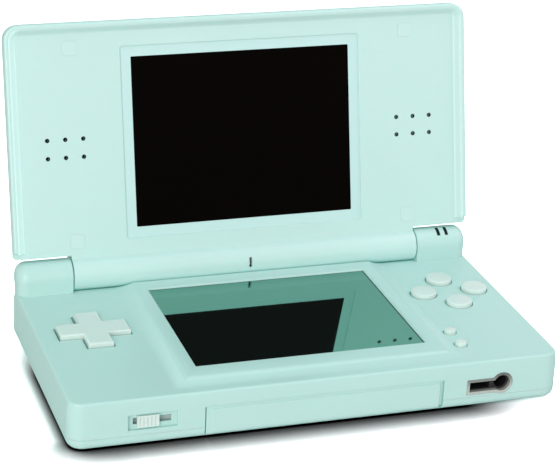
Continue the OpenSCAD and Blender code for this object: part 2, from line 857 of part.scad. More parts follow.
module shoulder_springs() {
  z0 = parting_h + 0.1;
  color(steel) for (s = [0, 1]) mirror([s, 0, 0]) difference() {
    union() {
      post(shoulder_pivot, z0, shoulder_z0 - 0.3, 1.45);
      translate([shoulder_pivot[0] - 0.2, shoulder_pivot[1] - 1.4, z0]) cube([7, 0.4, 0.5]);
    }
    post(shoulder_pivot, z0 - 1, shoulder_z0, shoulder_pin_r + 0.1);
  }
}

module dpad_rubber() {
  color(rubber_grey) translate([dpad_x, dpad_y, board_top]) {
    linear_extrude(sheet_t) rounded(dpad_span + 1, dpad_span + 1, 3);
    for (a = [0:90:270]) rotate(a) translate([6.4, 0, 0]) cylinder(h = 1.2, r = 1.8);
  }
}

module action_button_rubber() {
  color(rubber_grey) {
    translate([action_x, action_y, board_top]) linear_extrude(sheet_t)
      rounded(2 * action_offset + 5, 2 * action_offset + 5, 5);
    for (p = action_places) post(p, board_top, dome_z, 2.8);
  }
}

module menu_button_rubber() {
  color(rubber_grey) {
    translate([menu_x, menu_places[0][1] + menu_pitch / 2, board_top])
      linear_extrude(sheet_t) rounded(5, menu_pitch + 5, 2);
    for (p = menu_places) post(p, board_top, dome_z, 1.8);
  }
}

module indicator_light_pipes() {
  color("#2c3a38") intersection() {
    indicator_slots(0.04);
    on_axis(knuckle_x, knuckle_end, barrel_r - 0.1);
  }
}

module hinge_cam_module() {
  color(steel) {
    on_axis(barrel_x - 16, barrel_x + 0.1, barrel_bore - 0.08);
    on_axis(barrel_x, knuckle_x + pin_len, pin_r);
  }
}

module hinge_bush() {
  color("#dfe3e2") difference() {
    union() {
      on_axis(-barrel_x - 0.1, -barrel_x + 7, barrel_bore - 0.08);
      on_axis(-knuckle_x - pin_len, -barrel_x, pin_r);
    }
    on_axis(-knuckle_x - 20, -barrel_x + 10, 1.5);
  }
}

module base_screws() {
  color(steel) for (p = posts) difference() {
    union() {
      post(p, head_z, head_z + head_t, head_r);
      post(p, head_z + 0.2, 10.8, screw_r);
    }
    cross_recess([p[0], p[1], head_z + 0.6], 1.2);
  }
}

module underside_pads() {
  color(rubber_grey) for (p = pads) post(p, 0.05, 0.6, 2.4);
}

module stylus_sleeve() {
  x0 = stylus_end - stylus_len - 1;
  r = sleeve_r;
  color("#dfe3e2") difference() {
    block([x0, stylus_y - r, stylus_z - r], [half_w - 4, stylus_y + r, stylus_z + r]);
    translate([x0 + 0.7, stylus_y, stylus_z]) rotate([0, 90, 0])
      cylinder(h = case_w, r = stylus_d / 2 + stylus_fit);
  }
}

module strap_post() {
  color(steel) post([-supply_x, half_d - 1.5], 6.2, 9.4, 0.8);
}

// ---------- lid ----------

module lid_outer_shell() {
  color(mint_lid) swung() difference() {
    union() {
      lid_form(0, lid_edge);
      block([-barrel_x, lid_rear - 0.5, frame_back + 0.1], [barrel_x, hinge_y, lid_top]);
    }
    translate([0, 0, -wall]) lid_form(wall, lid_edge - wall);
    translate([0, 0, rim_z - 1]) linear_extrude(frame_back - rim_z + 1.1) lid_plan(rim_w, 0.8);
    block([-barrel_x - 0.1, lid_rear - 3, rim_z - 1], [barrel_x + 0.1, hinge_y + 1, frame_back + 0.1]);
    block([-barrel_x + wall, lid_rear - 6, rim_z], [barrel_x - wall, hinge_y - 3, lid_top - wall]);
    on_axis(-case_w, case_w, barrel_r + 0.1);
    block([-case_w, lid_rear - 2, rim_z - 1], [case_w, lid_rear + 2, inner_z]);
    block([rim_w - half_w, lid_rear - 2, rim_z - 1], [half_w - rim_w, lid_rear + 2, frame_back + 0.1]);
  }
  color(mint_lid) swung() for (p = lid_screw_places) difference() {
    post(p, frame_back + 0.7, lid_top - wall + 0.1, 2);
    post(p, frame_back, lid_top - wall - 0.3, 0.85);
  }
}

// Outer form of the lid drawn in by g, with an edge of radius r at its top
module lid_form(g, r) {
  z = lid_top - lid_edge;
  hull() {
    slice(rim_z) lid_plan(g + 0.25, g);
    slice(rim_z + 0.5) lid_plan(g, g);
    for (a = [0:15:90])
      slice(z + (lid_edge - g) * sin(a) + g - skin) lid_plan(g + r * (1 - cos(a)), g + 0.25 * r * (1 - cos(a)));
  }
}

module lid_inner_frame() {
  color(mint_lid) swung() difference() {
    union() {
      translate([0, 0, inner_z]) linear_extrude(frame_t) lid_plan(rim_w + seat, 0.02);
      on_axis(-barrel_x, barrel_x, barrel_r);
      block([-barrel_x, lid_rear - 3, inner_z], [barrel_x, hinge_y - 3, frame_back]);
      for (p = lid_screw_places) post(p, inner_z + 0.2, frame_back + 0.6, 2.3);
    }
    translate([0, upper_y, inner_z - 1]) {
      linear_extrude(1 + window_drop + window_t)
        rounded(upper_w + 2 * window_border, upper_h + 2 * window_border, 0.8);
      linear_extrude(frame_t + 2) square([upper_w, upper_h], center = true);
    }
    for (s = [-1, 1], i = [-1:1], j = [-0.5, 0.5])
      post([s * speaker_x + i * speaker_pitch, speaker_y + j * speaker_pitch], inner_z - 1, frame_back + 1,
        speaker_hole / 2);
    for (p = lid_screw_places) {
      translate([p[0], p[1], inner_z - 1]) linear_extrude(1.9) rounded(lid_pad + 0.1, lid_pad + 0.1, 0.8);
      post(p, inner_z, lid_head_z + 0.8, lid_head_r + 0.15);
      post(p, inner_z, frame_back + 2, 0.85);
    }
    on_axis(-case_w, case_w, barrel_bore);
    translate([0.2, hinge_y + 0.35, hinge_z]) block([-0.42, -1.4, -barrel_r - 1], [0.42, 1.4, 0]);
  }
}

module upper_window() {
  g = 2 * window_border - 0.3;
  color(black) swung() translate([0, upper_y, inner_z + window_drop]) linear_extrude(window_t)
    rounded(upper_w + g, upper_h + g, 0.8);
}

module upper_lcd() {
  color(black) swung() translate([0, upper_y, frame_back]) linear_extrude(upper_lcd_t)
    square([upper_w + 3, upper_h + 4], center = true);
}

module upper_lcd_bracket() {
  w = upper_w + 3;
  d = upper_h + 4;
  color(steel) swung() translate([0, upper_y, frame_back]) difference() {
    linear_extrude(upper_lcd_t + 0.4) square([w + 1.2, d + 1.2], center = true);
    translate([0, 0, -1]) linear_extrude(upper_lcd_t + 1) square([w + 0.1, d + 0.1], center = true);
  }
}

// One speaker at a side, s = -1 left, 1 right
module speaker(s) {
  color("#2a2d2f") swung() difference() {
    post([s * speaker_x, speaker_y], frame_back + 0.25, lid_top - wall - 0.2, speaker_d / 2);
    post([s * speaker_x, speaker_y], frame_back, frame_back + 0.8, speaker_d / 2 - 1);
  }
}

module speaker_left() {
  speaker(-1);
}

module speaker_right() {
  speaker(1);
}

module speaker_gauze() {
  color(black) swung() for (s = [-1, 1])
    translate([s * speaker_x, speaker_y, frame_back]) linear_extrude(0.2)
      rounded(2 * speaker_pitch + 3, speaker_pitch + 3, 1);
}

module microphone_grommet() {
  color(rubber_grey) swung() difference() {
    intersection() {
      post([0.2, hinge_y], hinge_z - barrel_bore, hinge_z - 0.4, 2.4);
      on_axis(-5, 5, barrel_bore - 0.02);
    }
    post([0.2, hinge_y], hinge_z - barrel_bore - 1, hinge_z, 1.5);
  }
}

module microphone() {
  color(steel) swung() post([0.2, hinge_y], hinge_z - 2.7, hinge_z - 0.2, 1.45);
}

module hinge_cable() {
  color("#c58f3a") swung() on_axis(-knuckle_x - 10, -4, 1.2);
}

module lid_screws() {
  color(steel) swung() for (p = lid_screw_places) difference() {
    union() {
      post(p, lid_head_z, lid_head_z + 0.8, lid_head_r);
      post(p, lid_head_z, lid_top - wall - 0.4, 0.8);
    }
    translate([0, 0, 0]) cross_recess([p[0], p[1], lid_head_z + 0.4], 0.9);
  }
}

module lid_screw_pads() {
  color(mint_light) swung() for (p = lid_screw_places)
    translate([p[0], p[1], inner_z - 0.1]) linear_extrude(0.95) rounded(lid_pad, lid_pad, 0.8);
}

// ---------- moving parts ----------

module dpad_cap() {
  color(mint_light) translate([dpad_x, dpad_y, 0]) {
    translate([0, 0, dpad_pivot_z + 0.2]) linear_extrude(base_h + cap_rise - dpad_pivot_z - 0.2)
      cross(dpad_span / 2, dpad_arm / 2);
    translate([0, 0, dpad_pivot_z + 0.2]) cylinder(h = 1, r = dpad_flange_r);
    translate([0, 0, dpad_pivot_z - 0.1]) cylinder(h = 0.5, r = 1.4);
  }
}

module dpad_pivot_pad() {
  color(rubber_grey) translate([dpad_x, dpad_y, board_top + sheet_t + 0.2])
    cylinder(h = dpad_pivot_z - board_top - sheet_t - 0.6, r = 1.6);
}

// Round cap with a flange under the top wall
module cap(p, d, top, flange) {
  color(mint_light) {
    post(p, flange_z, top - 0.3, d / 2);
    translate([p[0], p[1], top - 0.3]) cylinder(h = 0.3, r1 = d / 2, r2 = d / 2 - 0.35);
    post(p, flange_z, flange_z + flange_t, d / 2 + flange);
  }
}

module action_button_right() {
  cap(action_places[0], action_d, base_h + cap_rise, 0.9);
}

module action_button_lower() {
  cap(action_places[1], action_d, base_h + cap_rise, 0.9);
}

module action_button_upper() {
  cap(action_places[2], action_d, base_h + cap_rise, 0.9);
}

module action_button_left() {
  cap(action_places[3], action_d, base_h + cap_rise, 0.9);
}

module menu_button_upper() {
  cap(menu_places[1], menu_d, base_h + menu_rise, 0.8);
}

module menu_button_lower() {
  cap(menu_places[0], menu_d, base_h + menu_rise, 0.8);
}

// Shoulder button on the right, wrapped round the rear corner and hung on its pin
module shoulder_button() {
  z0 = shoulder_z0;
  h = shoulder_z1 - shoulder_z0;
  color(mint_light) difference() {
    union() {
      intersection() {
        translate([0, 0, z0]) linear_extrude(h) difference() {
          base_plan(0.05);
          base_plan(shoulder_t);
        }
        block([shoulder_x0, shoulder_y0, z0], [half_w, half_d, z0 + h]);
      }
      post(shoulder_pivot, z0, z0 + h, 1.7);
    }
    post(shoulder_pivot, z0 - 1, z0 + h + 1, shoulder_pin_r + 0.06);
  }
}

module right_shoulder_button() {
  shoulder_button();
}

module left_shoulder_button() {
  mirror([1, 0, 0]) shoulder_button();
}

module volume_slider() {
  x = volume_x + volume_rest;
  y = -half_d;
  color(mint_light) difference() {
    union() {
      block([x - volume_w / 2, y, volume_z - volume_h / 2], [x + volume_w / 2, y + recess_depth - 0.1, volume_z + volume_h / 2]);
      block([x - 1.1, y + 0.2, volume_z - 0.7], [x + 1.1, y + wall + 0.9, volume_z + 0.7]);
      block([x - 2.6, y + wall + 0.15, volume_z - 1.6], [x + 2.6, y + wall + 1, volume_z + 1.6]);
    }
    for (i = [-2:2]) block([x + i - 0.2, y - 1, volume_z - 1.2], [x + i + 0.2, y + 0.25, volume_z + 1.2]);
  }
}

module power_slider() {
  y = power_y - power_travel / 2;
  x = half_w;
  color(mint_light) {
    block([x - recess_depth + 0.1, y - power_w / 2, power_z - power_h / 2], [x, y + power_w / 2, power_z + power_h / 2]);
    block([x - wall - 0.7, y - 1.1, power_z - 0.7], [x - 0.2, y + 1.1, power_z + 0.7]);
    block([x - wall - 0.9, y - 2.4, power_z - 1.6], [x - wall - 0.15, y + 2.4, power_z + 1.6]);
  }
}

module stylus() {
  r = stylus_d / 2;
  tip = 6;
  x0 = stylus_end - stylus_len;
  color(mint_light) difference() {
    translate([x0, stylus_y, stylus_z]) rotate([0, 90, 0]) {
      translate([0, 0, 0]) cylinder(h = tip, r1 = 0.6, r2 = r * 0.8);
      translate([0, 0, tip]) cylinder(h = 2, r1 = r * 0.8, r2 = r);
      translate([0, 0, tip + 2]) cylinder(h = stylus_len - tip - 2, r = r);
    }
    translate([stylus_end - 3, stylus_y, stylus_z + r]) rotate([90, 0, 0]) cylinder(h = 10, r = 0.6, center = true);
  }
}

module cartridge_slot_cover() {
  x0 = cover_end - cover_w / 2;
  x1 = cover_w / 2 + cover_more - cover_grip;
  y = -half_d + cover_proud;
  color(mint_face) {
    difference() {
      union() {
        block([x0, y, cover_bottom + 0.1], [x1, y + wall - cover_proud - 0.1, cover_top - cover_fit]);
        block([x0 + cover_border, y - cover_proud, cover_bottom + 0.1], [x1, y + 0.1, cover_top - 0.8]);
      }
      rotate([90, 0, 90]) linear_extrude(case_w, center = true) difference() {
        span(-half_d - 1, -1, -half_d + foot_edge, foot_edge);
        translate([-half_d + foot_edge, foot_edge]) circle(foot_edge + 0.02);
      }
    }
    block([-insert_w / 2, -half_d + wall - 0.2, insert_z0], [insert_w / 2, insert_back, insert_z1]);
  }
}

// ---------- assembly ----------

bottom_shell();
face_shell();
battery_cover();
battery_cover_screw();
battery_pack();
battery_terminal();
main_board();
board_chips();
wireless_module();
lower_lcd();
lower_lcd_bracket();
touch_panel();
card_slot_reader();
cartridge_connector();
headphone_jack();
port_surround();
power_socket();
volume_control();
power_switch();
shoulder_switches();
shoulder_pins();
shoulder_springs();
dpad_rubber();
action_button_rubber();
menu_button_rubber();
indicator_light_pipes();
hinge_cam_module();
hinge_bush();
base_screws();
underside_pads();
stylus_sleeve();
strap_post();
lid_outer_shell();
lid_inner_frame();
upper_window();
upper_lcd();
upper_lcd_bracket();
speaker_left();
speaker_right();
speaker_gauze();
microphone();
microphone_grommet();
hinge_cable();
lid_screws();
lid_screw_pads();
dpad_cap();
dpad_pivot_pad();
action_button_right();
action_button_lower();
action_button_upper();
action_button_left();
menu_button_upper();
menu_button_lower();
left_shoulder_button();
right_shoulder_button();
volume_slider();
power_slider();
stylus();
cartridge_slot_cover();
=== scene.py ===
"""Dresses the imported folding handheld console: shells, screens, buttons, sliders, hinge and insides."""

from __future__ import annotations

import itertools
import json
import logging
import math
from dataclasses import dataclass, field
from enum import Enum
from typing import Callable, Sequence

import bmesh
import bpy
from mathutils import Matrix, Vector


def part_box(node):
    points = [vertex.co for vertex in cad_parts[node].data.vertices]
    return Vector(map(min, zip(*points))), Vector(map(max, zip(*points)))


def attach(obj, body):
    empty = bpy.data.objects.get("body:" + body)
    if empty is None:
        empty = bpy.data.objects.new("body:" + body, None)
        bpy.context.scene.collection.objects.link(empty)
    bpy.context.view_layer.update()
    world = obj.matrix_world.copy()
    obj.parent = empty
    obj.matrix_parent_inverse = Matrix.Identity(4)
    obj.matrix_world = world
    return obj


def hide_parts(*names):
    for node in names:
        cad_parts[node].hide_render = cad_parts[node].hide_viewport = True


LOG = logging.getLogger("console")
MM = 0.001
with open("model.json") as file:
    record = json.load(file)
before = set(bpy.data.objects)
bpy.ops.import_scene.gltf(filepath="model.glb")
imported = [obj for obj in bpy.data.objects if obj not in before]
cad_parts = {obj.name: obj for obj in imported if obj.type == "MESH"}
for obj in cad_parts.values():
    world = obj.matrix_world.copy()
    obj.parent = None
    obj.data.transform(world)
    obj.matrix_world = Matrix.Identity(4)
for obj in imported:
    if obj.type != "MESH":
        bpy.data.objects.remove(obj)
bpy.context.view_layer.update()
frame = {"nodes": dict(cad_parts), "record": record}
Point = tuple[float, float, float]
Colour = tuple[float, float, float]
Place = tuple[float, float]


def srgb(red: float, green: float, blue: float) -> Colour:
    """Turns display values of 0 to 255 into the linear colour that a shader reads.

    Args:
        red: red as seen on a display.
        green: green as seen on a display.
        blue: blue as seen on a display.

    Returns:
        The linear colour.
    """

    def channel(v: float) -> float:
        """Linear value of one display value."""
        v /= 255
        return v / 12.92 if v <= 0.04045 else ((v + 0.055) / 1.055) ** 2.4

    return channel(red), channel(green), channel(blue)


class Body(Enum):
    """The bodies that pieces without a node of their own ride on."""

    LID = "lid"
    PAD = "dpad"
    SLOT_COVER = "slot_cover"


class Grain(Enum):
    """The small relief of a surface: noise scale per metre and height in metres."""

    POLISHED = (900.0, 0.0000025)
    SATIN = (2600.0, 0.000004)
    RUBBER = (3800.0, 0.000012)
    CLOTH = (5200.0, 0.00003)
    BRUSHED = (1800.0, 0.000005)


# ---------------------------------------------------------------- node tools


def fill(tree: bpy.types.NodeTree, node: bpy.types.Node, inputs: dict) -> None:
    """Links or sets a node's inputs.

    Args:
        tree: the tree it is in.
        node: the node.
        inputs: what each input, by name or place, is linked to or set to.
    """
    for name, value in inputs.items():
        if isinstance(value, bpy.types.NodeSocket):
            tree.links.new(value, node.inputs[name])
        else:
            node.inputs[name].default_value = value


def add(tree: bpy.types.NodeTree, kind: str, inputs: dict | None = None, **settings: object) -> bpy.types.Node:
    """Adds a node.

    Args:
        tree: the tree it goes into.
        kind: its type.
        inputs: what each input is linked to or set to.
        settings: its options.

    Returns:
        The node.
    """
    node = tree.nodes.new(kind)
    for name, value in settings.items():
        setattr(node, name, value)
    fill(tree, node, inputs or {})
    return node


def reckon(tree: bpy.types.NodeTree, operation: str, *values: object) -> bpy.types.NodeSocket:
    """Adds a sum, a product or the like.

    Args:
        tree: the tree it goes into.
        operation: what it does.
        values: sockets or numbers.

    Returns:
        The result.
    """
    return add(tree, "ShaderNodeMath", dict(enumerate(values)), operation=operation).outputs[0]


def mixed(tree: bpy.types.NodeTree, share: object, low: object, high: object,
          blend: str = "MIX") -> bpy.types.NodeSocket:
    """Adds a mix of two colours.

    Args:
        tree: the tree it goes into.
        share: how much of the second colour there is.
        low: the first colour or its socket.
        high: the second colour or its socket.
        blend: how they mix.

    Returns:
        The mixed colour.
    """
    low, high = ((*c, 1) if isinstance(c, (tuple, list)) else c for c in (low, high))
    return add(tree, "ShaderNodeMix", {0: share, 6: low, 7: high}, data_type="RGBA", blend_type=blend).outputs[2]


def ramp(tree: bpy.types.NodeTree, source: bpy.types.NodeSocket, ends: Place, results: Place = (0.0, 1.0),
         way: str = "LINEAR") -> bpy.types.NodeSocket:
    """Adds a map of a value between two ends.

    Args:
        tree: the tree it goes into.
        source: the value.
        ends: where the first and the second result are reached.
        results: those results.
        way: how it runs between them.

    Returns:
        The result.
    """
    names = ("From Min", "From Max", "To Min", "To Max")
    inputs = dict(zip(names, (*ends, *results)), Value=source)
    return add(tree, "ShaderNodeMapRange", inputs, interpolation_type=way).outputs["Result"]


def spot(tree: bpy.types.NodeTree, axis: int | None = None) -> bpy.types.NodeSocket:
    """Adds the place on the object.

    Args:
        tree: the tree it goes into.
        axis: one of its three axes, or none for all.

    Returns:
        The place.
    """
    place = add(tree, "ShaderNodeTexCoord").outputs["Object"]
    return place if axis is None else add(tree, "ShaderNodeSeparateXYZ", {0: place}).outputs[axis]


def placed(thing: bpy.types.Object) -> bpy.types.Object:
    """Puts an object into the scene and returns it."""
    bpy.context.scene.collection.objects.link(thing)
    return thing


# ---------------------------------------------------------------- shader groups

Group = tuple[bpy.types.NodeTree, bpy.types.Node, bpy.types.Node]


class Effects:
    """Shader node groups that several finishes share."""

    def __init__(self) -> None:
        """Builds the groups once."""
        self.grain = self._grain_group()
        # A painted highlight on outward edges.
        self.painted_edge_highlight = self._painted_edge_group()
        # A painted glow in gaps and creases.
        self.hollow = self._painted_gap_glow_group()
        self.traces = self._trace_group()

    @staticmethod
    def _group(name: str, inputs: Sequence[tuple[str, str, object]], outputs: Sequence[tuple[str, str]]) -> Group:
        """Makes an empty shader group with its sockets.

        Args:
            name: the group's name.
            inputs: name, socket type and default of each input.
            outputs: name and socket type of each output.

        Returns:
            The node tree, its input node and its output node.
        """
        tree = bpy.data.node_groups.new(name, "ShaderNodeTree")
        for label, kind, default in inputs:
            socket = tree.interface.new_socket(label, in_out="INPUT", socket_type=kind)
            if default is not None:
                socket.default_value = default
        for label, kind in outputs:
            tree.interface.new_socket(label, in_out="OUTPUT", socket_type=kind)
        return tree, tree.nodes.new("NodeGroupInput"), tree.nodes.new("NodeGroupOutput")

    def _grain_group(self) -> bpy.types.NodeTree:
        """Soft drift of tone and fine relief, from two noises."""
        tree, come, go = self._group(
            "moulded_grain",
            [("Vector", "NodeSocketVector", None), ("Fine Scale", "NodeSocketFloat", 900.0),
             ("Drift Scale", "NodeSocketFloat", 30.0), ("Edge Radius", "NodeSocketFloat", 0.0001)],
            [("Drift", "NodeSocketFloat"), ("Height", "NodeSocketFloat"), ("Normal", "NodeSocketVector")],
        )
        edge = add(tree, "ShaderNodeBevel", {"Radius": come.outputs["Edge Radius"]}, samples=6)
        fine, drift = (
            add(tree, "ShaderNodeTexNoise",
                {"Vector": come.outputs["Vector"], "Scale": come.outputs[scale], "Detail": detail}).outputs[0]
            for scale, detail in (("Fine Scale", 3.0), ("Drift Scale", 2.0)))
        for name, value in (("Drift", drift), ("Height", fine), ("Normal", edge.outputs["Normal"])):
            tree.links.new(value, go.inputs[name])
        return tree

    def _painted_edge_group(self) -> bpy.types.NodeTree:
        """A mask of the outward edges, broken up by noise, where a painted highlight lightens the colour."""
        tree, come, go = self._group(
            "painted_edge_highlight_mask",
            [("Vector", "NodeSocketVector", None), ("Amount", "NodeSocketFloat", 0.5)],
            [("Mask", "NodeSocketFloat")],
        )
        shape = add(tree, "ShaderNodeNewGeometry")
        outward = ramp(tree, shape.outputs["Pointiness"], (0.52, 0.62))
        noise = add(tree, "ShaderNodeTexNoise", {"Vector": come.outputs["Vector"], "Scale": 260.0}).outputs[0]
        broken = reckon(tree, "MULTIPLY", outward, noise)
        tree.links.new(reckon(tree, "MULTIPLY", broken, come.outputs["Amount"]), go.inputs["Mask"])
        return tree

    def _painted_gap_glow_group(self) -> bpy.types.NodeTree:
        """A mask of gaps and creases, where a painted glow lightens them."""
        tree, come, go = self._group(
            "painted_gap_glow",
            [("Reach", "NodeSocketFloat", 0.0012)],
            [("Mask", "NodeSocketFloat")],
        )
        near = add(tree, "ShaderNodeAmbientOcclusion", {"Distance": come.outputs["Reach"]}, samples=6)
        tree.links.new(ramp(tree, near.outputs["AO"], (0.66, 0.12), way="SMOOTHSTEP"), go.inputs["Mask"])
        return tree

    def _trace_group(self) -> bpy.types.NodeTree:
        """Copper traces and pads under a board's lacquer."""
        tree, come, go = self._group(
            "board_traces",
            [("Vector", "NodeSocketVector", None), ("Scale", "NodeSocketFloat", 520.0)],
            [("Trace", "NodeSocketFloat"), ("Pad", "NodeSocketFloat")],
        )
        where = {"Vector": come.outputs["Vector"], "Scale": come.outputs["Scale"]}
        brick = add(tree, "ShaderNodeTexBrick", {**where, "Color1": (0, 0, 0, 1), "Color2": (0.25, 0.25, 0.25, 1),
                                                 "Mortar": (1, 1, 1, 1), "Mortar Size": 0.03})
        dots = add(tree, "ShaderNodeTexVoronoi", {**where, "Randomness": 0.55})
        tree.links.new(brick.outputs["Color"], go.inputs["Trace"])
        tree.links.new(reckon(tree, "LESS_THAN", dots.outputs["Distance"], 0.2), go.inputs["Pad"])
        return tree


# ---------------------------------------------------------------- finishes


def blank(name: str) -> tuple[bpy.types.Material, bpy.types.NodeTree, bpy.types.Node]:
    """Makes a material and returns it with its nodes and its shader."""
    material = bpy.data.materials.new(name)
    material.use_nodes = True
    return material, material.node_tree, material.node_tree.nodes["Principled BSDF"]


@dataclass(frozen=True)
class Finish:
    """A moulded, metal or rubber finish.

    Attributes:
        name: the finish's name.
        colour: its main linear colour.
        deep: its colour where the tone drifts darker.
        roughness: lowest and highest roughness.
        grain: its fine relief.
        metal: how metallic it is.
        coat: weight of a clear gloss over it.
        index: index of refraction.
        edge: how much its outward edges lighten, a painted highlight.
        glow: how far light spreads inside it, in metres.
        drift: size of the tone's drift, as noise scale per metre.
        soft: radius in metres to which its edges look rounded.
        gap: colour of a painted glow in its gaps and creases, or black.
        painted_dark_reflection: heights in millimetres between which it darkens upwards as a painted dark reflection,
            and to what share.
        painted_highlight: places in millimetres along X between which it starts to give off light, a painted highlight,
            and how much.
    """

    name: str
    colour: Colour
    deep: Colour
    roughness: Place = (0.25, 0.35)
    grain: Grain = Grain.POLISHED
    metal: float = 0.0
    coat: float = 0.0
    index: float = 1.46
    edge: float = 0.15
    glow: float = 0.0
    drift: float = 24.0
    soft: float = 0.00012
    gap: Colour = (0.0, 0.0, 0.0)
    painted_dark_reflection: tuple[float, float, float] = (0.0, 0.0, 1.0)
    painted_highlight: tuple[float, float, float] = (0.0, 0.0, 0.0)

    def build(self, effects: Effects) -> bpy.types.Material:
        """Builds the material.

        Args:
            effects: the shared shader groups.

        Returns:
            The material.
        """
        material, tree, skin = blank(self.name)
        scale, height = self.grain.value
        grain = add(tree, "ShaderNodeGroup", {"Fine Scale": scale, "Drift Scale": self.drift,
                                              "Edge Radius": self.soft, "Vector": spot(tree)},
                    node_tree=effects.grain)
        edge = add(tree, "ShaderNodeGroup", {"Amount": self.edge, "Vector": spot(tree)},
                   node_tree=effects.painted_edge_highlight)
        drift = grain.outputs["Drift"]
        tone = mixed(tree, drift, self.deep, self.colour)
        # Painted highlight: the outward edges are lightened.
        tone = mixed(tree, edge.outputs["Mask"], tone, tuple(min(1.0, c * 1.12 + 0.03) for c in self.colour))
        # Painted reflection: the colour darkens upwards.
        if self.painted_dark_reflection[2] < 1:
            tone = self._painted_darkening(tree, tone)
        bump = add(tree, "ShaderNodeBump", {"Strength": 0.6, "Distance": height, "Height": grain.outputs["Height"],
                                            "Normal": grain.outputs["Normal"]})
        fill(tree, skin, {
            "Base Color": tone, "Roughness": ramp(tree, drift, (0.0, 1.0), self.roughness),
            "Normal": bump.outputs["Normal"], "Metallic": self.metal, "IOR": self.index,
            "Coat Weight": self.coat, "Coat Roughness": 0.08,
        })
        if self.glow:
            fill(tree, skin, {"Subsurface Weight": 0.35, "Subsurface Radius": (0.4, 1.0, 0.95),
                                      "Subsurface Scale": self.glow})
        # Painted glow: gaps and creases give off light as emission, though no lamp is there.
        if max(self.gap) > 0:
            gaps = add(tree, "ShaderNodeGroup", node_tree=effects.hollow)
            fill(tree, skin, {"Emission Color": (*self.gap, 1), "Emission Strength": gaps.outputs["Mask"]})
        # Painted highlight: a band along X gives off pale light as emission.
        if self.painted_highlight[2] > 0:
            side = ramp(tree, spot(tree, 0), (self.painted_highlight[0] * MM, self.painted_highlight[1] * MM), (0.0, self.painted_highlight[2]))
            pale = (*[min(1.0, c * 1.25) for c in self.colour], 1)
            fill(tree, skin, {"Emission Color": pale, "Emission Strength": side})
        return material

    def _painted_darkening(self, tree: bpy.types.NodeTree, tone: bpy.types.NodeSocket) -> bpy.types.NodeSocket:
        """Darkens a colour upwards, a painted dark reflection.

        Args:
            tree: the material's nodes.
            tone: the colour.

        Returns:
            The darkened colour.
        """
        fade = ramp(tree, spot(tree, 2), (self.painted_dark_reflection[0] * MM, self.painted_dark_reflection[1] * MM), (1.0, self.painted_dark_reflection[2]))
        return mixed(tree, 1.0, tone, fade, "MULTIPLY")


@dataclass(frozen=True)
class MirrorFinish:
    """A dark screen under its polished film, which mirrors what stands over it.

    Attributes:
        name: the finish's name.
        tint: its linear colour seen straight on.
        border: place in millimetres where its painted shade begins, to the right and at the back.
        shade: how dark that painted shade is, to the right and at the back.
        lean: how far its mirror leans forwards, as a share of its height.
        painted_glow: a faint painted glow that it gives off though it is no lamp.
        roughness: how soft its mirror is.
    """

    name: str
    tint: Colour
    border: Place = (0.0, 0.0)
    shade: Place = (0.88, 0.35)
    lean: float = -0.027
    painted_glow: Colour = (0.0042, 0.0062, 0.0056)
    roughness: float = 0.03

    def build(self, effects: Effects) -> bpy.types.Material:
        """Builds the material.

        Args:
            effects: the shared shader groups.

        Returns:
            The material.
        """
        material, tree, skin = blank(self.name)
        grain = add(tree, "ShaderNodeGroup", {"Fine Scale": 60.0, "Drift Scale": 18.0, "Vector": spot(tree)},
                    node_tree=effects.grain)
        tone = mixed(tree, grain.outputs["Drift"], tuple(c * 0.92 for c in self.tint),
                     tuple(c * 1.06 for c in self.tint))
        # Painted shade: the screen darkens past its right and back edges.
        painted_shade_masks = [ramp(tree, spot(tree, i), ((edge - 0.12) * MM, (edge + 0.12) * MM), (0.0, self.shade[i]))
                for i, edge in enumerate(self.border)]
        painted_shade_tone = mixed(tree, reckon(tree, "MAXIMUM", *painted_shade_masks), tone, (0.012, 0.05, 0.04))
        bump = add(tree, "ShaderNodeBump", {"Strength": 0.3, "Distance": 0.000004,
                                            "Height": grain.outputs["Height"]})
        lean = add(tree, "ShaderNodeVectorMath", {0: bump.outputs["Normal"], 1: (0.0, self.lean, 0.0)})
        level = add(tree, "ShaderNodeVectorMath", {0: lean.outputs[0]}, operation="NORMALIZE")
        seen = add(tree, "ShaderNodeLightPath").outputs["Is Camera Ray"]
        fill(tree, skin, {
            "Base Color": painted_shade_tone, "Normal": level.outputs[0], "Metallic": seen,
            "Roughness": ramp(tree, seen, (0.0, 1.0), (0.7, self.roughness)),
            # Painted glow: a faint emission of its own.
            "Emission Color": (*self.painted_glow, 1), "Emission Strength": 1.0,
        })
        return material


@dataclass(frozen=True)
class BoardFinish:
    """A lacquered circuit board with its traces.

    Attributes:
        name: the finish's name.
        lacquer: colour of the lacquer.
        copper: colour of the traces under it.
        solder: colour of the pads.
    """

    name: str
    lacquer: Colour
    copper: Colour
    solder: Colour = (0.62, 0.55, 0.32)

    def build(self, effects: Effects) -> bpy.types.Material:
        """Builds the material.

        Args:
            effects: the shared shader groups.

        Returns:
            The material.
        """
        material, tree, skin = blank(self.name)
        traces = add(tree, "ShaderNodeGroup", {"Vector": spot(tree)}, node_tree=effects.traces)
        lines = mixed(tree, traces.outputs["Trace"], self.lacquer, self.copper)
        bump = add(tree, "ShaderNodeBump", {"Strength": 0.5, "Distance": 0.00003,
                                            "Height": traces.outputs["Trace"]})
        fill(tree, skin, {"Base Color": mixed(tree, traces.outputs["Pad"], lines, self.solder),
                                  "Normal": bump.outputs["Normal"], "Roughness": 0.35})
        return material


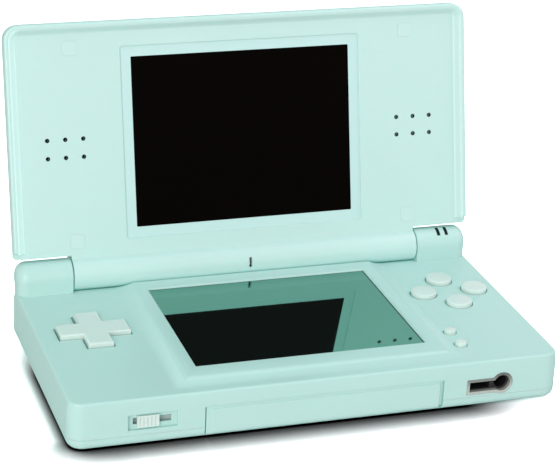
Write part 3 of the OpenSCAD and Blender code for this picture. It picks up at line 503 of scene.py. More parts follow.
class Finishes:
    """Every finish of the console, built when first asked for."""

    ALL: tuple = (
        # lid_aqua, case_aqua and front_aqua give off a painted glow in their gaps and creases.
        Finish("lid_aqua", srgb(196, 229, 224), srgb(192, 227, 221), (0.26, 0.34), coat=0.1, glow=0.0005,
               soft=0.0003, gap=(0.006, 0.045, 0.04)),
        Finish("rim_aqua", srgb(196, 229, 224), srgb(192, 227, 221), (0.26, 0.34), coat=0.1, soft=0.0),
        # The rim's finish paints a highlight along its left side.
        Finish("rim_painted_highlight_aqua", srgb(198, 230, 225), srgb(194, 228, 222), (0.26, 0.34), coat=0.1, soft=0.0,
               painted_highlight=(-62.2, -63.8, 0.2)),
        # case_aqua and front_aqua are the lid's plastic set darker, painted shade for the base, which faces less light.
        Finish("case_aqua", srgb(187, 224, 218), srgb(182, 221, 214), (0.32, 0.4), coat=0.0, glow=0.0005,
               soft=0.0003, gap=(0.006, 0.045, 0.04)),
        Finish("front_aqua", srgb(188, 224, 218), srgb(183, 221, 215), (0.3, 0.38), coat=0.0, glow=0.0005,
               soft=0.0002, gap=(0.006, 0.045, 0.04)),
        Finish("button_aqua", srgb(212, 230, 224), srgb(207, 227, 220), (0.2, 0.28), coat=0.15, glow=0.0006),
        Finish("window_border", srgb(192, 228, 224), srgb(188, 225, 221), (0.12, 0.2), coat=0.3),
        Finish("window_black", (0.0022, 0.0016, 0.001), (0.0018, 0.0013, 0.0009), (0.12, 0.2), index=1.06, edge=0.0),
        Finish("display_black", (0.006, 0.006, 0.007), (0.004, 0.004, 0.005), (0.15, 0.25), index=1.3, edge=0.0),
        MirrorFinish("touch_film", (0.15, 0.35, 0.29), (31.9, 22.9)),
        BoardFinish("green_board", (0.012, 0.1, 0.04), (0.05, 0.24, 0.09)),
        Finish("drawn_steel", (0.6, 0.6, 0.61), (0.5, 0.5, 0.51), (0.22, 0.34), Grain.BRUSHED, metal=1.0, edge=0.3),
        Finish("plated_screw", (0.5, 0.5, 0.5), (0.4, 0.4, 0.41), (0.25, 0.4), Grain.BRUSHED, metal=1.0, edge=0.4),
        # port_silver darkens upwards, a painted dark reflection on the ring's top.
        Finish("port_silver", (0.56, 0.62, 0.56), (0.5, 0.56, 0.5), (0.3, 0.4), metal=0.5, edge=0.0,
               painted_dark_reflection=(5.2, 8.6, 0.3)),
        Finish("rim_chrome", (0.74, 0.74, 0.74), (0.66, 0.66, 0.67), (0.1, 0.18), Grain.BRUSHED, metal=1.0, edge=0.2),
        Finish("black_moulding", (0.012, 0.012, 0.013), (0.007, 0.007, 0.008), (0.4, 0.55), Grain.SATIN),
        Finish("cell_wrap", (0.05, 0.055, 0.06), (0.035, 0.038, 0.042), (0.3, 0.42), Grain.SATIN),
        Finish("white_moulding", (0.72, 0.74, 0.73), (0.66, 0.68, 0.67), (0.35, 0.48), Grain.SATIN),
        Finish("grey_rubber", (0.12, 0.13, 0.135), (0.09, 0.1, 0.105), (0.6, 0.75), Grain.RUBBER),
        Finish("light_window", (0.006, 0.02, 0.018), (0.004, 0.014, 0.012), (0.4, 0.5), index=1.15, edge=0.0),
        Finish("slit_dark", (0.006, 0.016, 0.015), (0.004, 0.011, 0.01), (0.6, 0.7), index=1.15, edge=0.0),
        # Painted light: paler than the case plastic, so that the part deep in the volume slit looks lit.
        Finish("slot_aqua", srgb(216, 242, 238), srgb(210, 239, 234), (0.4, 0.5), Grain.SATIN),
        Finish("ribbon_film", (0.42, 0.2, 0.06), (0.36, 0.16, 0.045), (0.28, 0.4), Grain.SATIN),
        Finish("black_gauze", (0.008, 0.008, 0.008), (0.005, 0.005, 0.005), (0.8, 0.9), Grain.CLOTH),
    )

    def __init__(self, effects: Effects) -> None:
        """Keeps the shared groups.

        Args:
            effects: the shared shader groups.
        """
        self.effects = effects
        self.by_name = {f.name: f for f in self.ALL}
        self.made: dict[str, bpy.types.Material] = {}

    def __getitem__(self, name: str) -> bpy.types.Material:
        """The material of that name."""
        if name not in self.made:
            self.made[name] = self.by_name[name].build(self.effects)
        return self.made[name]


# ---------------------------------------------------------------- mesh tools


class Bench:
    """Makes meshes and puts them into the scene as pieces."""

    def __init__(self, finishes: Finishes) -> None:
        """Keeps the finishes.

        Args:
            finishes: the finishes that pieces take.
        """
        self.finishes = finishes
        self.slots = {s["node"]: s["material_slot"] for s in frame["record"]["subparts"]}
        self.body_of = {n: b for b, ns in frame["record"]["behaviour"]["bodies"].items() for n in ns}

    def piece(self, name: str, bm: bmesh.types.BMesh, finish: str, body: str, nodes: Sequence[str] = (),
              slot: str = "", smooth: float = 35.0) -> bpy.types.Object:
        """Puts a mesh into the scene.

        Args:
            name: the piece's name.
            bm: its mesh, which is used up.
            finish: its finish.
            body: the body it rides on.
            nodes: the nodes it stands for.
            slot: its material slot, where it stands for no node; passed to settle, which gives the piece no slot.
            smooth: angle in degrees up to which its faces shade as one.

        Returns:
            The piece.
        """
        mesh = bpy.data.meshes.new(name)
        for f in bm.faces:
            f.smooth = True
        for e in bm.edges:
            e.smooth = len(e.link_faces) == 2 and e.calc_face_angle(0.0) < math.radians(smooth)
        bm.to_mesh(mesh)
        bm.free()
        mesh.materials.append(self.finishes[finish])
        thing = placed(bpy.data.objects.new(name, mesh))
        self.weigh_normals(thing)
        return self.settle(thing, body, nodes, slot)

    @staticmethod
    def weigh_normals(thing: bpy.types.Object) -> None:
        """Keeps flat faces flat where they meet a rounding, by normals weighted with face area.

        Args:
            thing: the object, which gets a new mesh.
        """
        weighted = thing.modifiers.new("weighted", "WEIGHTED_NORMAL")
        weighted.mode = "FACE_AREA"
        weighted.weight = 100
        weighted.keep_sharp = True
        Bench.bake(thing)

    @staticmethod
    def bake(thing: bpy.types.Object) -> None:
        """Turns an object's modifiers into its mesh.

        Args:
            thing: the object.
        """
        graph = bpy.context.evaluated_depsgraph_get()
        old = thing.data
        fresh = bpy.data.meshes.new_from_object(thing.evaluated_get(graph), depsgraph=graph)
        thing.modifiers.clear()
        thing.data = fresh
        fresh.name = thing.name
        bpy.data.meshes.remove(old)

    def settle(self, thing: bpy.types.Object, body: str, nodes: Sequence[str] = (), slot: str = "") -> bpy.types.Object:
        """Makes a finished object ride on its body and stand for its nodes.

        Args:
            thing: the object.
            body: the body it rides on.
            nodes: the nodes it stands for.
            slot: its material slot, where it stands for no node; looked up but given to no object.

        Returns:
            The object.
        """
        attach(thing, body)
        if nodes:
            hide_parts(*nodes)
        slot or self.slots[nodes[0]]
        LOG.info("piece %s on %s", thing.name, body)
        return thing

    def copy_of(self, node: str) -> bmesh.types.BMesh:
        """A merged copy of a node's mesh, its flat faces joined up.

        Args:
            node: the node's name.

        Returns:
            The mesh.
        """
        bm = bmesh.new()
        bm.from_mesh(frame["nodes"][node].data)
        bmesh.ops.remove_doubles(bm, verts=bm.verts, dist=0.000015)
        bmesh.ops.dissolve_degenerate(bm, dist=0.000001, edges=bm.edges)
        bmesh.ops.dissolve_limit(bm, angle_limit=math.radians(0.6), verts=bm.verts, edges=bm.edges)
        return bm

    @staticmethod
    def soften(bm: bmesh.types.BMesh, width: float, angle: float = 38.0, steps: int = 2,
               where: Callable[[Vector], bool] | None = None) -> None:
        """Rounds the sharp edges of a mesh.

        Args:
            bm: the mesh.
            width: how wide the rounding is, in millimetres.
            angle: edges sharper than this many degrees are rounded.
            steps: faces across the rounding.
            where: a test on an edge's middle, where only some edges are rounded.
        """
        edges = [
            e for e in bm.edges
            if len(e.link_faces) == 2 and e.calc_face_angle(0.0) > math.radians(angle)
            and (where is None or where((e.verts[0].co + e.verts[1].co) / 2))
        ]
        bmesh.ops.bevel(bm, geom=edges, offset=width * MM, offset_type="OFFSET", segments=steps, profile=0.5,
                        affect="EDGES", clamp_overlap=True)

    def soft_node(self, node: str, finish: str, width: float, angle: float = 38.0, steps: int = 2,
                  smooth: float = 35.0) -> bpy.types.Object:
        """A node's own shape with its edges rounded, in place of the node.

        Args:
            node: the node's name.
            finish: its finish.
            width: width of the rounding in millimetres.
            angle: edges sharper than this many degrees are rounded.
            steps: faces across the rounding.
            smooth: shading angle in degrees.

        Returns:
            The piece.
        """
        bm = self.copy_of(node)
        if width:
            self.soften(bm, width, angle, steps)
        return self.piece(node + "_moulding", bm, finish, self.body_of[node], [node], smooth=smooth)

    def dress(self, node: str, finish: str) -> None:
        """Gives a node a finish and leaves its shape.

        Args:
            node: the node's name.
            finish: its finish.
        """
        thing = frame["nodes"][node]
        thing.data.materials.clear()
        thing.data.materials.append(self.finishes[finish])
        LOG.info("node %s is %s", node, finish)

    @staticmethod
    def turned(bm: bmesh.types.BMesh, profile: Sequence[Place], centre: Point, steps: int = 48) -> None:
        """Adds a turned shape about an upright axis.

        Args:
            bm: the mesh to add to.
            profile: radius and height of each ring in millimetres; a radius of 0 closes an end.
            centre: foot of the axis in millimetres.
            steps: points round the axis.
        """
        rings: list[list[bmesh.types.BMVert]] = []
        for r, z in profile:
            count = 1 if r == 0 else steps
            rings.append([
                bm.verts.new(Vector((centre[0] + r * math.cos(2 * math.pi * i / steps),
                                     centre[1] + r * math.sin(2 * math.pi * i / steps), centre[2] + z)) * MM)
                for i in range(count)
            ])
        for low, high in zip(rings, rings[1:]):
            for i in range(steps):
                j = (i + 1) % steps
                if len(low) == 1:
                    bm.faces.new((low[0], high[j], high[i]))
                elif len(high) == 1:
                    bm.faces.new((low[i], low[j], high[0]))
                else:
                    bm.faces.new((low[i], low[j], high[j], high[i]))

    @staticmethod
    def outline_prism(bm: bmesh.types.BMesh, outline: Sequence[Place], low: float, high: float) -> None:
        """Adds an upright prism on an outline that runs anticlockwise.

        Args:
            bm: the mesh to add to.
            outline: corners in millimetres.
            low: height of its foot.
            high: height of its top.
        """
        foot = [bm.verts.new(Vector((x, y, low)) * MM) for x, y in outline]
        top = [bm.verts.new(Vector((x, y, high)) * MM) for x, y in outline]
        bm.faces.new(list(reversed(foot)))
        bm.faces.new(top)
        for i in range(len(outline)):
            j = (i + 1) % len(outline)
            bm.faces.new((foot[i], foot[j], top[j], top[i]))

    @staticmethod
    def ring_prism(bm: bmesh.types.BMesh, outer: Sequence[Place], inner: Sequence[Place],
                   low: float, high: float) -> None:
        """Adds an upright prism between two outlines with as many corners.

        Args:
            bm: the mesh to add to.
            outer: outer corners, anticlockwise.
            inner: inner corners, anticlockwise.
            low: height of its foot.
            high: height of its top.
        """
        rows = [[bm.verts.new(Vector((x, y, z)) * MM) for x, y in line]
                for line, z in ((outer, low), (outer, high), (inner, high), (inner, low))]
        for k in range(4):
            here, there = rows[k], rows[(k + 1) % 4]
            for i in range(len(here)):
                j = (i + 1) % len(here)
                bm.faces.new((here[i], here[j], there[j], there[i]))


# ---------------------------------------------------------------- sub-assemblies

HINGE = Vector((0.0, 32.35, 16.85))
OPENING = 103.2


def rounded_outline(x: float, y: float, a: float, b: float, r: float, steps: int = 8) -> list[Place]:
    """An anticlockwise rectangle with round corners.

    Args:
        x: its centre.
        y: its centre.
        a: its half width.
        b: its half depth.
        r: its corner radius.
        steps: points on each corner.

    Returns:
        Its corners.
    """
    points = []
    for k, (sx, sy) in enumerate(((1, 1), (-1, 1), (-1, -1), (1, -1))):
        for i in range(steps + 1):
            t = math.radians(90 * k + 90 * i / steps)
            points.append((x + sx * (a - r) + r * math.cos(t), y + sy * (b - r) + r * math.sin(t)))
    return points


def size_of(node: str) -> tuple[Vector, Vector]:
    """Lowest and highest corner of a node in millimetres.

    Args:
        node: the node's name.

    Returns:
        The two corners.
    """
    low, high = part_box(node)
    return low / MM, high / MM


@dataclass
class BaseShells:
    """The two shells of the base and what fills their openings.

    Attributes:
        bench: the bench that makes the pieces.
        lip: how far the cover's lip starts behind its front, how deep it is and how far it reaches.
    """

    bench: Bench
    lip: tuple[float, float, float] = (0.55, 0.9, 1.05)

    def build(self) -> None:
        """Builds the shells."""
        self.bench.soft_node("face_shell", "case_aqua", 0.0)
        self.bench.soft_node("bottom_shell", "case_aqua", 0.0)
        self.bench.soft_node("battery_cover", "case_aqua", 0.15)
        self.bench.soft_node("cartridge_slot_cover", "front_aqua", 0.2)
        self._cover_lip()

    def _cover_lip(self) -> None:
        """The cover's low lip, which fills the gap at its right end."""
        low, high = size_of("cartridge_slot_cover")
        back, deep, reach = self.lip
        bm = bmesh.new()
        y, right = low.y + back, high.x + reach
        corners = [(high.x - 0.1, y), (right, y), (right, y + deep), (high.x - 0.1, y + deep)]
        self.bench.outline_prism(bm, corners, low.z + 0.6, high.z - 0.05)
        self.bench.piece("slot_cover_lip", bm, "front_aqua", Body.SLOT_COVER.value,
                         slot=self.bench.slots["cartridge_slot_cover"])


@dataclass
class Lid:
    """The lid's shells, window, pads and speakers.

    Attributes:
        bench: the bench that makes the pieces.
        core_x: half width between the centres of the frame's corners.
        core_y: place of those centres.
        core_r: radius of its corners.
        spread: how far its outline is spread to meet the rim.
        tongue: place along Y behind which the frame isn't spread.
        pads: places of the soft pads.
        pad: half width, corner radius, face and back of a pad.
        window: half width, half height and corner radius of the window.
        pane: half width and half height of the dark pane.
        middle: place of the window's centre.
        glass: height of the window's face and how thick it is.
        face: height of the inner face in the closed place.
        wall: half width, front, corner radius and rear end of the rim's inner wall.
        hollow: width and height of the rounding between wall and face.
        lap: how far that rounding reaches onto the rim's crest.
        speaker: half width and height of the speakers' middles, and the pitch of their holes.
        hole_shade: outer and inner radius and depth of the dark tube in each hole, painted shade on its wall.
    """

    bench: Bench
    core_x: float = 62.3
    core_y: float = -32.75
    core_r: float = 2.6
    spread: float = 0.085
    tongue: float = HINGE.y - 5.6
    pads: tuple[Place, ...] = tuple((x, y) for x in (-48.5, 48.5) for y in (-29.95, 23.15))
    pad: tuple[float, float, float, float] = (1.985, 0.8, 14.87, 15.7)
    window: tuple[float, float, float] = (34.52, 26.62, 0.85)
    pane: Place = (31.5, 23.6)
    middle: float = -3.15
    glass: Place = (15.35, 0.8)
    face: float = 14.95
    wall: tuple[float, float, float, float] = (65.0, -35.45, 2.7, 25.3)
    hollow: Place = (1.7, 1.585)
    lap: float = 0.35
    speaker: tuple[float, float, float] = (50.7, HINGE.y - 35.05, 5.0)
    hole_shade: tuple[float, float, float] = (0.597, 0.48, 0.8)

    def build(self) -> None:
        """Builds the lid."""
        self._painted_hole_shade()
        self._shell()
        self._frame()
        self._moulding()
        self._pads()
        self._window()

    @staticmethod
    def swing(bm: bmesh.types.BMesh, back: bool = False) -> None:
        """Turns a mesh from the closed place, in which the lid is drawn, to where it stands.

        Args:
            bm: the mesh.
            back: turns it from where it stands to the closed place instead.
        """
        turn = Matrix.Rotation(math.radians(OPENING if back else -OPENING), 4, "X")
        axis = Matrix.Translation(HINGE * MM)
        bmesh.ops.transform(bm, matrix=axis @ turn @ axis.inverted(), verts=bm.verts)

    def _shell(self) -> None:
        """The outer shell, with the crest of its rim rounded."""
        bm = self.bench.copy_of("lid_outer_shell")
        self.swing(bm, back=True)
        self.bench.soften(bm, 0.35, steps=4, where=lambda p: p.z < 13.45 * MM)
        self.swing(bm)
        self.bench.piece("lid_outer_moulding", bm, "lid_aqua", Body.LID.value, ["lid_outer_shell"], smooth=40)

    def _moulding(self) -> None:
        """The hollow rounding between the rim and the inner face, as one bent strip."""
        x, y, r, end = self.wall
        wide, high = self.hollow
        path = [((-x, end), (1.0, 0.0))]
        for a, b in ((180, 270), (270, 360)):
            sign = -1 if a == 180 else 1
            for i in range(9):
                t = math.radians(a + (b - a) * i / 8)
                c, d = math.cos(t), math.sin(t)
                path.append(((sign * (x - r) + r * c, y + r + r * d), (-c, -d)))
        path.append(((x, end), (-1.0, 0.0)))
        section = [(-self.lap, 0.3), (wide - 0.6, 0.3)]
        for i in range(15):
            t = 1 - i / 14
            section.append(((wide + self.lap) * t - self.lap, high * (3 * t * t - 2 * t ** 3 - 1)))
        bm = bmesh.new()
        rows = [[bm.verts.new(Vector((p[0] + n[0] * u, p[1] + n[1] * u, self.face + v)) * MM) for u, v in section]
                for p, n in path]
        count = len(section)
        for here, there in zip(rows, rows[1:]):
            for i in range(count):
                j = (i + 1) % count
                bm.faces.new((here[i], there[i], there[j], here[j]))
        bm.faces.new(rows[0])
        bm.faces.new(list(reversed(rows[-1])))
        bmesh.ops.recalc_face_normals(bm, faces=bm.faces)
        self.swing(bm)
        # Its finish paints a highlight on the rim's left side.
        self.bench.piece("lid_rim_moulding", bm, "rim_painted_highlight_aqua", Body.LID.value, slot=self.bench.slots["lid_inner_frame"])

    def _frame(self) -> None:
        """The inner frame, spread so that it meets the shell's rim."""
        bm = self.bench.copy_of("lid_inner_frame")
        self.swing(bm, back=True)
        for v in bm.verts:
            p = v.co / MM
            core = Vector((max(-self.core_x, min(self.core_x, p.x)), max(self.core_y, p.y), p.z))
            way = p - core
            if way.length > self.core_r - 0.15 and p.y < self.tongue:
                v.co = (p + way.normalized() * self.spread) * MM
        self.swing(bm)
        self.bench.piece("lid_inner_moulding", bm, "lid_aqua", Body.LID.value, ["lid_inner_frame"])

    def _painted_hole_shade(self) -> None:
        """A dark tube in each of the twelve speaker holes, painted shade on their walls."""
        bm = bmesh.new()
        outer, inner, deep = self.hole_shade
        across, up, pitch = self.speaker
        turns = [math.radians(15 * k) for k in range(24)]
        for side, column, row in itertools.product((-1, 1), (-1, 0, 1), (-0.5, 0.5)):
            x, y = side * across + column * pitch, up + row * pitch
            rings = [[(x + r * math.cos(t), y + r * math.sin(t)) for t in turns] for r in (outer, inner)]
            self.bench.ring_prism(bm, rings[0], rings[1], self.face + 0.03, self.face + deep)
        self.swing(bm)
        self.bench.piece("speaker_hole_painted_shade", bm, "slit_dark", Body.LID.value,
                         slot=self.bench.slots["speaker_gauze"])

    def _pads(self) -> None:
        """Four soft square pads that fill their pockets."""
        half, r, low, high = self.pad
        bm = bmesh.new()
        for x, y in self.pads:
            outline = []
            for i in range(32):
                a = 2 * math.pi * (i + 0.5) / 32
                c, d = math.cos(a), math.sin(a)
                outline.append((x + math.copysign(half - r, c) + r * c, y + math.copysign(half - r, d) + r * d))
            self.bench.outline_prism(bm, outline, low, high)
        bmesh.ops.bevel(bm, geom=[e for e in bm.edges if all(v.co.z < 14.9 * MM for v in e.verts)], offset=0.1 * MM,
                        segments=3, profile=0.5, affect="EDGES")
        self.swing(bm)
        self.bench.piece("lid_soft_pads", bm, "rim_aqua", Body.LID.value, ["lid_screw_pads"])

    def _window(self) -> None:
        """The window: a dark pane inside a printed border."""
        x, y, r = self.window
        z, thick = self.glass
        pane = bmesh.new()
        a, b = self.pane
        self.bench.outline_prism(pane, rounded_outline(0, self.middle, a, b, 0.3), z, z + thick)
        self.swing(pane)
        self.bench.piece("upper_window_pane", pane, "window_black", Body.LID.value, ["upper_window"])
        border = bmesh.new()
        outer = rounded_outline(0, self.middle, x, y, r)
        inner = rounded_outline(0, self.middle, a + 0.02, b + 0.02, 0.3)
        self.bench.ring_prism(border, outer, inner, z - 0.02, z + thick)
        self.swing(border)
        self.bench.piece("upper_window_border", border, "window_border", Body.LID.value, slot="window_glass")


@dataclass
class Controls:
    """Direction pad, round buttons, shoulder buttons and sliders.

    Attributes:
        bench: the bench that makes the pieces.
        crown: how far a round cap's top is domed, in millimetres.
        lip: rounding at a cap's top edge in millimetres.
    """

    bench: Bench
    crown: float = 0.14
    lip: float = 0.32

    def build(self) -> None:
        """Builds every control."""
        for node in ("action_button_right", "action_button_lower", "action_button_upper", "action_button_left",
                     "menu_button_upper", "menu_button_lower"):
            self._cap(node)
        self._pad()
        for node, width in (("left_shoulder_button", 0.25), ("right_shoulder_button", 0.25),
                            ("volume_slider", 0.12), ("power_slider", 0.15), ("stylus", 0.15)):
            self.bench.soft_node(node, "button_aqua", width, steps=3)

    def _pad(self) -> None:
        """The cross-shaped pad with well rounded top edges."""
        bm = self.bench.copy_of("dpad_cap")
        self.bench.soften(bm, 0.3, steps=4, where=lambda p: 13.0 * MM < p.z < 14.2 * MM)
        self.bench.soften(bm, 0.5, angle=50, steps=5, where=lambda p: p.z > 14.25 * MM)
        self.bench.piece("direction_pad", bm, "button_aqua", Body.PAD.value, ["dpad_cap"], smooth=50)

    def _cap(self, node: str) -> None:
        """A domed cap with its flange.

        Args:
            node: the node it stands for.
        """
        low, high = size_of(node)
        middle = (low + high) / 2
        flange = (high.x - low.x) / 2
        r = flange - (0.9 if "action" in node else 0.8)
        foot, top = low.z, high.z
        profile = [(0.0, foot), (flange - 0.1, foot), (flange, foot + 0.1), (flange, foot + 0.9),
                   (flange - 0.1, foot + 1.0), (r + 0.1, foot + 1.0), (r, foot + 1.1)]
        side = top - self.crown - self.lip
        profile.append((r, side))
        profile += [(r - self.lip * (1 - math.cos(a)), side + self.lip * math.sin(a))
                    for a in (math.radians(d) for d in (15, 30, 45, 60, 75))]
        inner = r - self.lip
        profile += [(inner * k, top - self.crown * k * k * 0.9) for k in (0.98, 0.8, 0.6, 0.4, 0.2)]
        profile.append((0.0, top))
        bm = bmesh.new()
        self.bench.turned(bm, profile, (middle.x, middle.y, 0.0))
        self.bench.piece(node + "_cap", bm, "button_aqua", self.bench.body_of[node], [node], smooth=50)


@dataclass
class Plain:
    """The pieces whose node already has their shape, each with its finish.

    Attributes:
        bench: the bench that dresses them.
        finish_of: finish of each node.
    """

    bench: Bench
    finish_of: dict[str, str] = field(default_factory=lambda: {
        "touch_panel": "touch_film", "lower_lcd": "display_black", "upper_lcd": "display_black",
        "lower_lcd_bracket": "drawn_steel", "upper_lcd_bracket": "drawn_steel", "card_slot_reader": "drawn_steel",
        "port_surround": "port_silver", "shoulder_pins": "drawn_steel", "shoulder_springs": "drawn_steel",
        "hinge_cam_module": "drawn_steel", "microphone": "drawn_steel", "strap_post": "rim_chrome",
        "battery_cover_screw": "plated_screw", "lid_screws": "plated_screw",
        "battery_terminal": "black_moulding", "board_chips": "black_moulding", "cartridge_connector": "black_moulding",
        "headphone_jack": "black_moulding", "power_socket": "black_moulding", "volume_control": "slot_aqua",
        "power_switch": "black_moulding", "shoulder_switches": "black_moulding", "speaker_left": "black_moulding",
        "speaker_right": "black_moulding", "battery_pack": "cell_wrap", "main_board": "green_board",
        "wireless_module": "green_board", "stylus_sleeve": "white_moulding", "hinge_bush": "white_moulding",
        "dpad_rubber": "grey_rubber", "action_button_rubber": "grey_rubber", "menu_button_rubber": "grey_rubber",
        "underside_pads": "grey_rubber", "microphone_grommet": "slit_dark", "dpad_pivot_pad": "grey_rubber",
        "indicator_light_pipes": "light_window", "hinge_cable": "ribbon_film", "speaker_gauze": "black_gauze",
    })

    def build(self) -> None:
        """Dresses each node."""
        for node, finish in self.finish_of.items():
            self.bench.dress(node, finish)


@dataclass
class Screws:
    """The screws of the base, one Geometry Nodes screw at each place where the node has one.

    Attributes:
        bench: the bench that makes the pieces.
        sizes: the tree's inputs in millimetres.
        sides: sides of the round parts.
    """

    bench: Bench
    sizes: dict[str, float] = field(default_factory=lambda: {
        "Head Radius": 1.9, "Head Height": 1.2, "Head Chamfer": 0.25, "Core Radius": 0.86, "Thread Radius": 0.13,
        "Thread Pitch": 0.6, "Shank Length": 10.4, "Recess Reach": 1.2, "Recess Width": 0.44, "Recess Depth": 0.6,
    })
    sides: int = 32

    def build(self) -> None:
        """Makes the screws as one piece."""
        places = self._places("base_screws")
        mesh = bpy.data.meshes.new("screw_places")
        mesh.from_pydata(places, [], [])
        thing = placed(bpy.data.objects.new("base_screws_threaded", mesh))
        tree = self._tree()
        turner = thing.modifiers.new("screws", "NODES")
        turner.node_group = tree
        for item in tree.interface.items_tree:
            if item.in_out == "INPUT" and item.name in self.sizes:
                turner[item.identifier] = self.sizes[item.name] * MM
        self.bench.bake(thing)
        self.bench.settle(thing, self.bench.body_of["base_screws"], ["base_screws"])

    def _places(self, node: str) -> list[Point]:
        """Where a node has its screws.

        Args:
            node: the node's name.

        Returns:
            The middle of each screw's lower face.
        """
        bm = self.bench.copy_of(node)
        left = set(bm.verts)
        places = []
        while left:
            found, edge = set(), [left.pop()]
            while edge:
                vert = edge.pop()
                found.add(vert)
                near = {e.other_vert(vert) for e in vert.link_edges} & left
                left -= near
                edge.extend(near)
            low, high = ([pick(v.co[i] for v in found) for i in range(3)] for pick in (min, max))
            places.append(((low[0] + high[0]) / 2, (low[1] + high[1]) / 2, low[2]))
        bm.free()
        return sorted(places)

    def _tree(self) -> bpy.types.NodeTree:
        """The tree that makes one screw and puts it at each point.

        Returns:
            The tree.
        """
        tree = bpy.data.node_groups.new("screw", "GeometryNodeTree")
        sockets = tree.interface
        for way in ("INPUT", "OUTPUT"):
            sockets.new_socket("Geometry", in_out=way, socket_type="NodeSocketGeometry")
        for name, size in self.sizes.items():
            sockets.new_socket(name, in_out="INPUT", socket_type="NodeSocketFloat").default_value = size * MM
        given = tree.nodes.new("NodeGroupInput").outputs
        result = tree.nodes.new("NodeGroupOutput")
        chamfer, radius, shank = given["Head Chamfer"], given["Head Radius"], given["Shank Length"]

        def lifted(shape: bpy.types.NodeSocket, height: bpy.types.NodeSocket) -> bpy.types.NodeSocket:
            """Lifts a shape by a height."""
            up = add(tree, "ShaderNodeCombineXYZ", {"Z": height}).outputs[0]
            return add(tree, "GeometryNodeTransform", {"Geometry": shape, "Translation": up}).outputs[0]

        def round_bar(width: bpy.types.NodeSocket, top: bpy.types.NodeSocket) -> bpy.types.NodeSocket:
            """Makes a round bar from the chamfer's back to a height."""
            height = reckon(tree, "SUBTRACT", top, chamfer)
            bar = add(tree, "GeometryNodeMeshCylinder", {"Vertices": self.sides, "Radius": width, "Depth": height})
            return lifted(bar.outputs["Mesh"], reckon(tree, "MULTIPLY_ADD", height, 0.5, chamfer))

        bevel = add(tree, "GeometryNodeMeshCone", {
            "Vertices": self.sides, "Depth": chamfer, "Radius Top": radius,
            "Radius Bottom": reckon(tree, "SUBTRACT", radius, chamfer)})
        whole = add(tree, "GeometryNodeMeshBoolean", operation="UNION")
        plate, core = round_bar(radius, given["Head Height"]), round_bar(given["Core Radius"], shank)
        for shape in (bevel.outputs["Mesh"], plate, core):
            tree.links.new(shape, whole.inputs["Mesh 2"])
        cut = add(tree, "GeometryNodeMeshBoolean", {"Mesh 1": whole.outputs[0]}, operation="DIFFERENCE")
        for long_way, short_way in ((0, 1), (1, 0)):
            size = add(tree, "ShaderNodeCombineXYZ", {
                long_way: reckon(tree, "MULTIPLY", given["Recess Reach"], 2.0), short_way: given["Recess Width"],
                2: reckon(tree, "MULTIPLY", given["Recess Depth"], 2.0)})
            bar = add(tree, "GeometryNodeMeshCube", {"Size": size.outputs[0]})
            tree.links.new(bar.outputs["Mesh"], cut.inputs["Mesh 2"])
        pitch = given["Thread Pitch"]
        run = reckon(tree, "SUBTRACT", reckon(tree, "SUBTRACT", shank, given["Head Height"]), pitch)
        helix = add(tree, "GeometryNodeCurveSpiral", {
            "Resolution": 16, "Rotations": reckon(tree, "DIVIDE", run, pitch), "Height": run,
            "Start Radius": given["Core Radius"], "End Radius": given["Core Radius"]})
        ridge = add(tree, "GeometryNodeCurvePrimitiveCircle", {"Resolution": 3, "Radius": given["Thread Radius"]})
        thread = add(tree, "GeometryNodeCurveToMesh", {
            "Curve": helix.outputs[0], "Profile Curve": ridge.outputs[0], "Fill Caps": True})
        screw = add(tree, "GeometryNodeJoinGeometry")
        for shape in (cut.outputs[0], lifted(thread.outputs[0], given["Head Height"])):
            tree.links.new(shape, screw.inputs["Geometry"])
        spread = add(tree, "GeometryNodeInstanceOnPoints", {"Points": given["Geometry"], "Instance": screw.outputs[0]})
        real = add(tree, "GeometryNodeRealizeInstances", {"Geometry": spread.outputs[0]})
        dressed = add(tree, "GeometryNodeSetMaterial", {
            "Geometry": real.outputs[0], "Material": self.bench.finishes["plated_screw"]})
        tree.links.new(dressed.outputs[0], result.inputs[0])
        return tree


# ---------------------------------------------------------------- studio


@dataclass(frozen=True)
class Lamp:
    """A soft square lamp that faces a point.

    Attributes:
        name: the lamp's name.
        place: where it stands, in metres.
        target: what it faces.
        size: its side in metres.
        power: its power in watts.
        colour: its linear colour.
    """

    name: str
    place: Point
    target: Point
    size: float
    power: float
    colour: Colour = (1.0, 1.0, 1.0)

    def build(self) -> None:
        """Puts the lamp into the scene."""
        data = bpy.data.lights.new(self.name, "AREA")
        data.shape = "SQUARE"
        data.size = self.size
        data.energy = self.power
        data.color = self.colour
        thing = placed(bpy.data.objects.new(self.name, data))
        thing.location = self.place
        thing.rotation_euler = (Vector(self.target) - Vector(self.place)).to_track_quat("-Z", "Y").to_euler()


